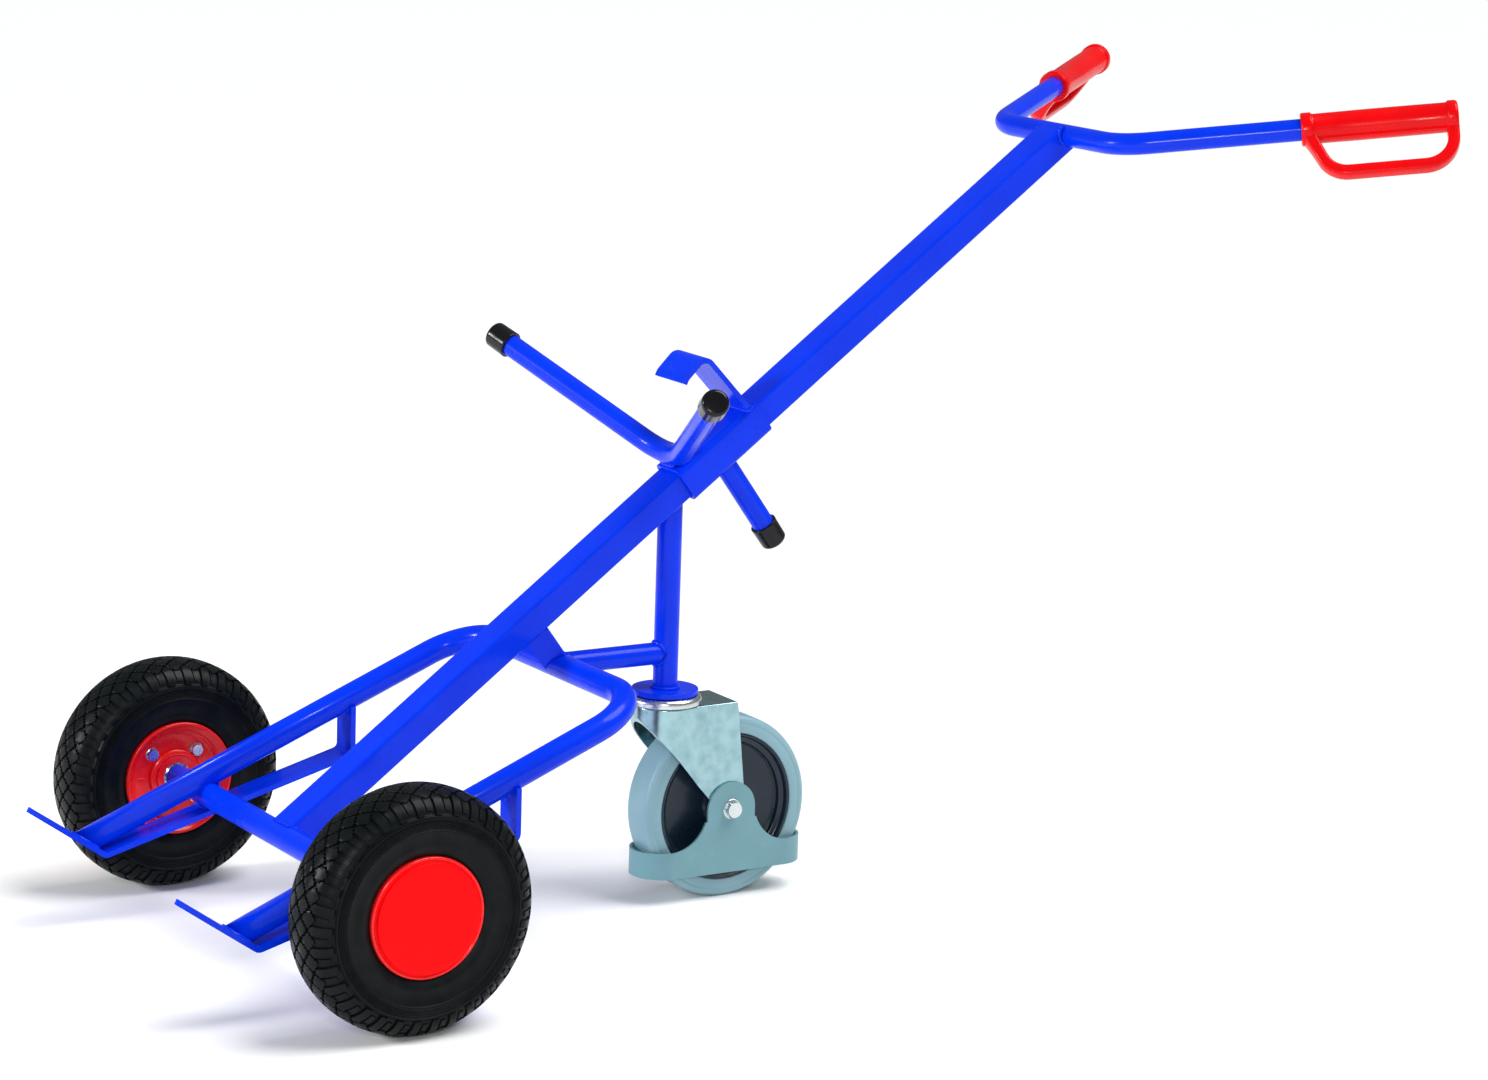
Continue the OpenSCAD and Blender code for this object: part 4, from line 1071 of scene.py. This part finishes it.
@dataclass
class Welds:
    """The painted weld beads where the frame's pieces meet."""

    layout: Layout
    tubes: TubeFrame
    carriage: "Carriage"
    bead_r: float = 2.3

    def bead(self, shape: Shape, path: list[Point], up: Point, place: Matrix | None = None,
             closed: bool = True, size: float = 1.0) -> None:
        """Lays one rippled bead.

        Args:
            shape: What the bead is added to.
            path: Points along the bead, in millimetres.
            up: Direction that its section keeps to.
            place: Where it goes.
            closed: Whether it goes all the way round.
            size: Scale of its thickness.
        """
        fine = evenly(path + (path[:1] if closed else []), 1.1)
        if closed:
            fine = fine[:-1]
        swell = []
        for i in range(len(fine)):
            ripple = 0.86 + 0.16 * abs(math.sin(i * 0.62)) + 0.06 * math.sin(i * 0.23)
            end = 1.0 if closed else min(1.0, 0.25 + min(i, len(fine) - 1 - i) * 0.22)
            swell.append((ripple * end * size, ripple * end * size))
        shape.sweep(fine, up, circle(self.bead_r, 10), place, closed, swell)

    def saddle(self, small_r: float, large_r: float, offset: float = 0.0) -> list[Point]:
        """Returns the joint line of a small tube along Z that stands on a large tube along X.

        Args:
            small_r: Radius of the tube that stands.
            large_r: Radius of the tube that it stands on.
            offset: How far the small tube's line is to the large one's side.

        Returns:
            Points round the joint.
        """
        line = []
        for i in range(64):
            a = math.tau * i / 64
            x, y = small_r * math.cos(a), small_r * math.sin(a) + offset
            line.append(Vector((x, y, math.sqrt(max(large_r ** 2 - y ** 2, 0.0)))))
        return line

    def rectangle(self, width: float, length: float) -> list[Point]:
        """Returns the line round a rectangle in the XY plane, with its corners rounded."""
        line = []
        for sx, sy, start in ((1, 1, 0), (-1, 1, 90), (-1, -1, 180), (1, -1, 270)):
            line += [Vector((x, y, 0)) for x, y in arc((sx * (width / 2 - 2), sy * (length / 2 - 2)), 2.0,
                                                     start, start + 90, 4)]
        return line

    def build(self) -> None:
        """Makes all beads: one piece on the frame and one on the carriage."""
        on_frame, up = Shape(), Vector((0, 0, 1))
        lay, tubes = self.layout, self.tubes
        swivel = lay.swivel_y
        plate_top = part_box("castor_plate")[1][2] / MM
        ring = [Vector((x, y, 0)) for x, y in circle(tubes.tube_r + 0.8, 64)]
        self.bead(on_frame, ring, up, shift(0, swivel, plate_top + 0.8))
        cross = lay.axle_z + tubes.cross_z
        strut = self.saddle(tubes.light_r + 0.6, tubes.tube_r + 0.5)
        onto_post = shift(0, swivel, cross) @ turn(90, "X") @ turn(90, "Z")
        self.bead(on_frame, strut, up, onto_post)
        onto_cross = shift(0, lay.axle_y + tubes.depth, cross) @ turn(-90, "X")
        self.bead(on_frame, strut, up, onto_cross)
        for side in (-1, 1):
            leg = shift(side * tubes.leg_spacing / 2, lay.axle_y, lay.axle_z)
            high = tubes.leg_rise
            line = self.crossing(tubes.tube_r + 0.3, high)
            self.bead(on_frame, line[0], up, leg, closed=False)
            self.bead(on_frame, line[1], up, leg, closed=False)
            self.strip_beads(on_frame, side)
        self.mast_beads(on_frame)
        on_frame.piece("frame_weld_beads", "frame", FINISHES.blue_paint, 60.0)
        on_carriage = Shape()
        self.carriage_beads(on_carriage)
        on_carriage.piece("carriage_weld_beads", "hook_carriage", FINISHES.blue_paint, 60.0)

    def crossing(self, radius: float, high: float) -> tuple[list[Point], list[Point]]:
        """Returns the two joint lines of a leg that crosses over the axle tube.

        Args:
            radius: Radius of both tubes.
            high: Height of the leg's line above the axle tube's.

        Returns:
            The line on the front and the line on the back.
        """
        half = math.sqrt(max(radius ** 2 - (high / 2) ** 2, 0.0))
        lines = []
        for side in (-1, 1):
            line = []
            for i in range(13):
                x = -half * 0.98 + 2 * half * 0.98 * i / 12
                top = high - math.sqrt(max(radius ** 2 - x ** 2, 0.0))
                y = math.sqrt(max(radius ** 2 - top ** 2, 0.0))
                line.append(Vector((x, side * y, top + side * y * 0.2)))
            lines.append(line)
        return lines[0], lines[1]

    def strip_beads(self, shape: Shape, side: int) -> None:
        """Adds the beads where one toe strip meets the leg, the axle tube and the leg's foot."""
        lay, tubes = self.layout, self.tubes
        x = side * tubes.leg_spacing / 2
        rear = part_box("toe_strip_" + side_name(side))[1][1] / MM
        leg = math.radians(tubes.leg_angle)
        rear_z = lay.axle_z + tubes.leg_rise + (rear - 3 - lay.axle_y) * math.tan(leg)
        line = []
        for i in range(15):
            across = -13.0 + 26.0 * i / 14
            drop = math.sqrt(max((tubes.tube_r + 0.6) ** 2 - across ** 2, 0.0)) / math.cos(leg)
            line.append(Vector((across, 0.0, -drop)))
        for y, lift in ((rear + 0.8, 1.4), (rear - tubes.strip_t - 0.8, -0.8)):
            self.bead(shape, line, Vector((0, 1, 0)), shift(x, y, rear_z + lift), closed=False, size=0.9)
        prong = math.radians(tubes.prong_angle)
        face = Vector((0, math.sin(prong), math.cos(prong)))
        bend = tubes.toe_bend(x) + face * (tubes.strip_t / 2)
        along = Vector((0, math.cos(leg), math.sin(leg)))
        centre = Vector((x, lay.axle_y, lay.axle_z + tubes.leg_rise))
        foot = []
        for i in range(49):
            a = math.radians(-62 + 304 * i / 48)
            rim = centre + Vector((1, 0, 0)) * ((tubes.tube_r + 0.5) * math.cos(a))
            rim = rim + Vector((0, -math.sin(leg), math.cos(leg))) * ((tubes.tube_r + 0.5) * math.sin(a))
            foot.append(rim + along * ((bend - rim).dot(face) / along.dot(face)))
        self.bead(shape, foot, face, closed=False, size=0.9)
        strip = math.radians(tubes.strip_angle)
        for front in (-6.0, 6.0):
            height = lay.axle_z - tubes.tube_r + 0.6 + front * math.tan(strip) * 0.5
            line = [Vector((x - 15 + 30 * i / 10, lay.axle_y + front, height)) for i in range(11)]
            self.bead(shape, line, Vector((0, 0, 1)), closed=False, size=0.8)

    def mast_beads(self, shape: Shape) -> None:
        """Adds the beads at the mast's foot, its top and the post under it."""
        lay, tubes = self.layout, self.tubes
        up = Vector((0, 0, 1))
        half_w, half_d = lay.mast_half_w, lay.mast_half_d
        for side in (-1, 1):
            line = [Vector((side * (half_w + 0.4), tubes.tube_r * math.cos(a), tubes.tube_r * math.sin(a)))
                    for a in [math.radians(lay.mast_angle - 62 + 4 * i) for i in range(28)]]
            self.bead(shape, line, Vector((1, 0, 0)), shift(0, lay.axle_y, lay.axle_z), closed=False)
        top = [Vector((-half_w + 2 + 38.0 * i / 12, 0, 0)) for i in range(13)]
        foot = math.sqrt(tubes.tube_r ** 2 - 144) + 1.5
        self.bead(shape, top, up, lay.mast(foot, half_d + 0.4), closed=False)
        for n in (13.0, -13.0):
            self.bead(shape, top, up, lay.mast(lay.mast_length - 4.5, n), closed=False)
        bar_r = tubes.light_r + 0.4
        for side in (-1, 1):
            line = [Vector((side * half_w, -bar_r * math.cos(a), bar_r * math.sin(a)))
                    for a in [math.radians(-78 + 6 * i) for i in range(27)]]
            self.bead(shape, line, Vector((1, 0, 0)), lay.mast(lay.mast_length, lay.mast_drop), closed=False)
        slope = math.radians(lay.mast_angle)
        post = []
        for i in range(64):
            a = math.tau * i / 64
            x, y = (tubes.tube_r + 0.6) * math.cos(a), (tubes.tube_r + 0.6) * math.sin(a)
            under = lay.swivel_y + y - lay.axle_y
            drop = (half_d + lay.mast_drop) / math.cos(slope)
            post.append(Vector((x, lay.swivel_y + y, lay.axle_z + under * math.tan(slope) - drop - 0.6)))
        self.bead(shape, post, Vector((0, 0, 1)))

    def carriage_beads(self, shape: Shape) -> None:
        """Adds the beads round the hook's foot, the handle's root and the cradle's bend."""
        lay, up = self.layout, Vector((0, 0, 1))
        start, length, top_n = self.carriage.start, self.carriage.length, self.carriage.top_n
        foot = self.rectangle(61.0, 7.0)
        self.bead(shape, foot, up, lay.mast(start + length - 12 - 0.2, top_n + 0.9), size=0.9)
        ring = [Vector((x, y, 0)) for x, y in circle(self.tubes.light_r + 0.7, 60)]
        self.bead(shape, ring, up, lay.mast(start + length / 2, -top_n - 0.7))
        for offset in (-9.5, 9.5):
            line = [Vector((x, 0, 0.028 * x ** 2 * 0.3)) for x in [-16.0 + 32.0 * i / 12 for i in range(13)]]
            place = lay.mast(start + self.tubes.light_r + 1 + offset, top_n + 1.6)
            self.bead(shape, line, up, place, closed=False)


# ---------- drum hook carriage ----------

@dataclass
class Carriage:
    """The sleeve on the mast with its hook, V cradle and handle."""

    layout: Layout
    start: float = 592.0
    length: float = 122.0
    top_n: float = 20.8
    tube_r: float = 12.5
    cradle_angle: float = 32.0
    cradle_half: float = 243.0
    cradle_bend_r: float = 80.0
    cradle_lean: float = 5.0
    cap_wall: float = 3.0
    cap_length: float = 29.0
    stub_reach: float = 122.0

    def build(self) -> None:
        """Makes the carriage's pieces."""
        softened("hook_sleeve", "hook_carriage", FINISHES.blue_paint, 0.8)
        softened("drum_hook", "hook_carriage", FINISHES.blue_paint, 0.9)
        self.cradle()
        self.handle_cap()

    def plane(self) -> Matrix:
        """Returns the cradle's plane, with X sideways and Y standing up from the mast."""
        sag = self.cradle_bend_r * (1 / math.cos(math.radians(self.cradle_angle)) - 1)
        rise = self.top_n + 0.2 + self.tube_r - sag
        return self.layout.mast(self.start + self.tube_r + 1, rise) @ turn(90 + self.cradle_lean, "X")

    def cradle(self) -> None:
        """Makes the V tube and its two caps."""
        angle = math.radians(self.cradle_angle)
        arm = self.cradle_half / math.cos(angle)
        inner = arm - self.cap_wall - 0.1
        tangent = self.cradle_bend_r * math.tan(angle)
        moves = [(inner - tangent, 2 * self.cradle_angle, self.cradle_bend_r), (inner - tangent, 0, 0)]
        place = self.plane() @ turn(180 - self.cradle_angle, "Z") @ shift(inner, 0, 0) @ turn(180, "Z")
        shape = Shape()
        shape.sweep(run(moves), Vector((0, 0, 1)), circle(self.tube_r, 40), place)
        shape.piece("drawn_cradle", "hook_carriage", FINISHES.blue_paint, 40.0, ("drum_cradle",))
        for tag, heading in (("left", 180 - self.cradle_angle), ("right", self.cradle_angle)):
            end = self.plane() @ turn(heading, "Z") @ shift(arm, 0, 0) @ turn(180, "Z")
            self.cap("cradle_cap_" + tag, end @ turn(90, "Y"))

    def cap(self, node: str, place: Matrix) -> None:
        """Makes one end cap with a rounded end, a lip at its mouth and a slight taper.

        Args:
            node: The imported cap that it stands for.
            place: Its end face's place, with Z towards the tube.
        """
        outer, inner = self.tube_r + self.cap_wall, self.tube_r + 0.1
        profile = [(0.0, 0.0), (outer * 0.45, 0.15)] + arc((outer - 5.2, 5.0), 4.7, -80, 0, 8)
        profile += [(outer - 0.35, self.cap_length * 0.5), (outer - 0.15, self.cap_length - 3.0)]
        profile += arc((outer - 0.9, self.cap_length - 0.9), 0.9, 0, 90, 4)
        profile += [(inner, self.cap_length), (inner, self.cap_wall), (0.0, self.cap_wall)]
        shape = Shape()
        shape.lathe(profile, 72, place)
        shape.piece("moulded_" + node, "hook_carriage", FINISHES.black_cap, 40.0, (node,))

    def handle_cap(self) -> None:
        """Makes the cap on the sleeve's handle."""
        place = self.layout.mast(self.start + self.length / 2, -self.top_n - self.stub_reach)
        self.cap("sleeve_handle_cap", place)


# ---------- castor ----------

@dataclass
class Castor:
    """The swivel castor: ball race, pressed fork, toe guard and wheel."""

    layout: Layout
    wheel_r: float = 105.0
    wheel_w: float = 46.0
    tread_r: float = 85.0
    plate_z: float = 240.0

    def build(self) -> None:
        """Makes the castor's pieces."""
        self.race()
        softened("castor_fork", "castor_fork", FINISHES.fork_zinc, 1.3)
        softened("castor_toe_guard", "castor_fork", FINISHES.guard_grey, 0.8)
        self.wheel()
        self.fasteners()

    def race(self) -> None:
        """Makes the domed saucer that holds the balls under the mounting plate."""
        top = self.plate_z - 0.1
        profile = [(6.2, top), (30.0, top), (34.5, top - 0.6)] + arc((36.4, top - 6.2), 5.4, 78, 0, 8)
        profile += [(41.9, top - 7.0), (41.9, top - 9.6), (40.6, top - 10.6), (39.4, top - 10.2),
                    (36.0, top - 8.2)]
        profile += [(6.2, top - 7.9)]
        shape = Shape()
        shape.lathe(profile, 120, shift(0, self.layout.swivel_y, 0))
        shape.piece("domed_race", "frame", FINISHES.zinc, 30.0, ("castor_head",))

    def wheel(self) -> None:
        """Makes the wheel's tread and its dished core."""
        place, half, r = self.layout.castor(), self.wheel_w / 2, self.wheel_r
        side = [(self.tread_r + 0.1, half - 1.2), (self.tread_r + 0.9, half - 0.3), (self.tread_r + 3.0, half),
                (r - 9.5, half), (r - 8.8, half - 0.35), (r - 8.2, half - 0.1)]
        side += arc((r - 6.6, half - 6.6), 6.5, 84, 12, 8)
        crown = [(r - 0.12, half - 9.0), (r, 6.0)]
        half_profile = side + crown
        profile = half_profile + [(a, -b) for a, b in reversed(half_profile)]
        shape = Shape()
        shape.lathe(profile, 160, place)
        shape.piece("moulded_castor_tread", "castor_wheel", FINISHES.castor_rubber, 32.0, ("castor_tread",))
        rim, web = self.tread_r, 6.0
        face = [(20.0, half + 2.6), (19.2, half + 3.0), (12.1, half + 3.0)]
        dish = [(rim, half - 1.5), (rim - 1.2, half - 1.0), (rim - 3.0, half - 1.2), (rim - 4.0, half - 2.4),
                (rim - 4.8, half - 6.0), (rim - 6.0, half - 7.0), (rim - 9.0, half - 7.6),
                (rim - 10.0, half - 8.4),
                (rim - 10.8, web + 4.2), (rim - 13.0, web + 2.2), (rim - 24.0, web + 1.4), (30.0, web + 1.4),
                (23.5, web + 3.0), (20.8, web + 6.0)]
        half_core = dish + face
        profile = half_core + [(a, -b) for a, b in reversed(half_core)]
        shape = Shape()
        shape.lathe(profile, 144, place)
        shape.piece("dished_castor_core", "castor_wheel", FINISHES.castor_plastic, 30.0, ("castor_core",))

    def fasteners(self) -> None:
        """Makes the axle bolt, with its head on the guard's outer face."""
        guard_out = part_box("castor_toe_guard")[1][0] / MM
        place = shift(guard_out + 0.1, self.layout.castor_y, self.layout.castor_z) @ turn(90, "Y")
        shape = Shape()
        HexBolt(18.0, 8.0, 11.5).add(shape, place @ turn(8, "Z"))
        shank = [(5.95, -2 * guard_out - 14.0), (5.95, 0.0), (0.0, 0.0), (0.0, -2 * guard_out - 14.0)]
        shape.lathe(shank, 48, place)
        shape.piece("castor_bolt_head", "castor_fork", FINISHES.zinc, 25.0, ("castor_axle_bolt",))


@dataclass
class WheelFasteners:
    """The rim bolts of both wheels, with chamfered heads and washers."""

    layout: Layout
    circle_r: float = 38.0

    def build(self) -> None:
        """Makes one group of bolts on each wheel."""
        for side, tag in ((-1, "left"), (1, "right")):
            shape = Shape()
            for i in range(4):
                spot = self.layout.wheel(side) @ turn(45 + 90 * i, "Z") @ shift(self.circle_r, 0, -21.6)
                HexBolt(13.0, 5.3, 7.9).add(shape, spot @ turn(180, "X") @ turn(20 * i, "Z"))
                shape.lathe([(3.9, 0.0), (3.9, 14.3), (0.0, 14.3), (0.0, 0.0)], 32, spot)
            shape.piece("rim_bolt_heads_" + tag, tag + "_wheel", FINISHES.zinc, 25.0, ("rim_bolts_" + tag,))


# ---------- stage ----------

@dataclass
class Studio:
    """The floor, the soft lights and the camera."""

    layout: Layout
    azimuth: float = 57.7242
    elevation: float = 11.7249
    roll: float = 1.9352
    distance: float = 4.81075
    target: tuple[float, float, float] = (-0.02019, 0.58337, 0.40127)
    focal_share: float = 4256.714 / 1488
    sensor: float = 36.0
    floor_half: float = 60.0
    lamp_aim: tuple[float, float, float] = (0.0, 0.0, 0.35)
    room_light: float = 0.22
    room_colour: tuple[float, float, float] = (0.93, 0.98, 1.0)
    ceiling_light: float = 3.2
    ceiling_spread: float = 42.0
    ceiling_place: tuple[float, float, float] = (0.3, 0.5, 1.0)
    lamps: tuple[tuple[str, tuple[float, float, float], float, float], ...] = (
        ("left_softbox", (-1.3, -4.3, 1.7), 0.9, 125.0),
        ("front_flash", (3.6, -2.2, 1.7), 0.5, 46.0),
    )

    def build(self) -> None:
        """Makes the stage."""
        self.floor()
        self.lights()
        self.camera()

    def floor(self) -> None:
        """Makes the plain pale floor."""
        mesh = bpy.data.meshes.new("floor")
        half = self.floor_half
        corners = [(x * half, y * half, 0) for x, y in ((-1, -1), (1, -1), (1, 1), (-1, 1))]
        mesh.from_pydata(corners, [], [(0, 1, 2, 3)])
        floor = bpy.data.objects.new("floor", mesh)
        bpy.context.scene.collection.objects.link(floor)
        material = bpy.data.materials.new("pale_floor")
        material.use_nodes = True
        shader = material.node_tree.nodes["Principled BSDF"]
        shader.inputs["Base Color"].default_value = (0.93, 0.93, 0.93, 1)
        shader.inputs["Roughness"].default_value = 0.85
        shader.inputs["Specular IOR Level"].default_value = 0.1
        mesh.materials.append(material)

    def lamp(self, name: str, place: tuple[float, float, float], size: float, power: float) -> None:
        """Adds a square soft light that faces the truck.

        Args:
            name: The light's name.
            place: Where it hangs, in metres.
            size: Length of its side, in metres.
            power: Its power, in watts.
        """
        data = bpy.data.lights.new(name, "AREA")
        data.size = size
        data.energy = power
        light = bpy.data.objects.new(name, data)
        light.location = place
        aim = Vector(self.lamp_aim) - Vector(place)
        light.rotation_euler = aim.to_track_quat("-Z", "Y").to_euler()
        bpy.context.scene.collection.objects.link(light)

    def lights(self) -> None:
        """Sets the pale surroundings and hangs the lights."""
        bpy.context.scene.view_settings.view_transform = "Standard"
        world = bpy.data.worlds.new("white_room")
        world.use_nodes = True
        tree = world.node_tree
        room = tree.nodes["Background"]
        room.inputs["Color"].default_value = (*self.room_colour, 1)
        room.inputs["Strength"].default_value = self.room_light
        backdrop = tree.nodes.new("ShaderNodeBackground")
        backdrop.inputs["Color"].default_value = (1, 1, 1, 1)
        pick = tree.nodes.new("ShaderNodeMixShader")
        tree.links.new(tree.nodes.new("ShaderNodeLightPath").outputs["Is Camera Ray"], pick.inputs["Fac"])
        tree.links.new(room.outputs["Background"], pick.inputs[1])
        tree.links.new(backdrop.outputs["Background"], pick.inputs[2])
        tree.links.new(pick.outputs["Shader"], tree.nodes["World Output"].inputs["Surface"])
        bpy.context.scene.world = world
        ceiling = bpy.data.lights.new("ceiling_light", "SUN")
        ceiling.energy, ceiling.angle = self.ceiling_light, math.radians(self.ceiling_spread)
        above = bpy.data.objects.new("ceiling_light", ceiling)
        above.rotation_euler = Vector(self.ceiling_place).to_track_quat("Z", "Y").to_euler()
        bpy.context.scene.collection.objects.link(above)
        for name, place, size, power in self.lamps:
            self.lamp(name, place, size, power)

    def camera(self) -> None:
        """Sets the camera at the viewing angle."""
        a, e, roll = (math.radians(v) for v in (self.azimuth, self.elevation, self.roll))
        back = Vector((math.sin(a) * math.cos(e), -math.cos(a) * math.cos(e), math.sin(e)))
        right = Vector((math.cos(a), math.sin(a), 0))
        up = back.cross(right)
        tilted_right = right * math.cos(roll) + up * math.sin(roll)
        tilted_up = up * math.cos(roll) - right * math.sin(roll)
        data = bpy.data.cameras.new("camera")
        data.sensor_width = self.sensor
        data.lens = self.sensor * self.focal_share
        data.clip_start, data.clip_end = 0.05, 200.0
        camera = bpy.data.objects.new("camera", data)
        axes = Matrix((tilted_right, tilted_up, back)).transposed().to_4x4()
        aim = Vector(self.target) + Vector((0, self.layout.axle_y * MM, 0))
        camera.matrix_world = Matrix.Translation(aim + back * self.distance) @ axes
        bpy.context.scene.collection.objects.link(camera)
        bpy.context.scene.camera = camera


def main() -> None:
    """Builds the truck's looks piece by piece and sets the stage."""
    logging.basicConfig(level=logging.INFO, format="%(message)s")
    FINISHES.dress_frame_nodes()
    layout = Layout()
    Studio(layout).build()
    tubes = TubeFrame(layout)
    tubes.build()
    Handlebar(layout).build()
    carriage = Carriage(layout)
    carriage.build()
    for side in (-1, 1):
        Tyre(layout, side).build()
        Rim(layout, side).build()
    WheelFasteners(layout).build()
    Castor(layout).build()
    Welds(layout, tubes, carriage).build()


if __name__ == "__main__":
    main()
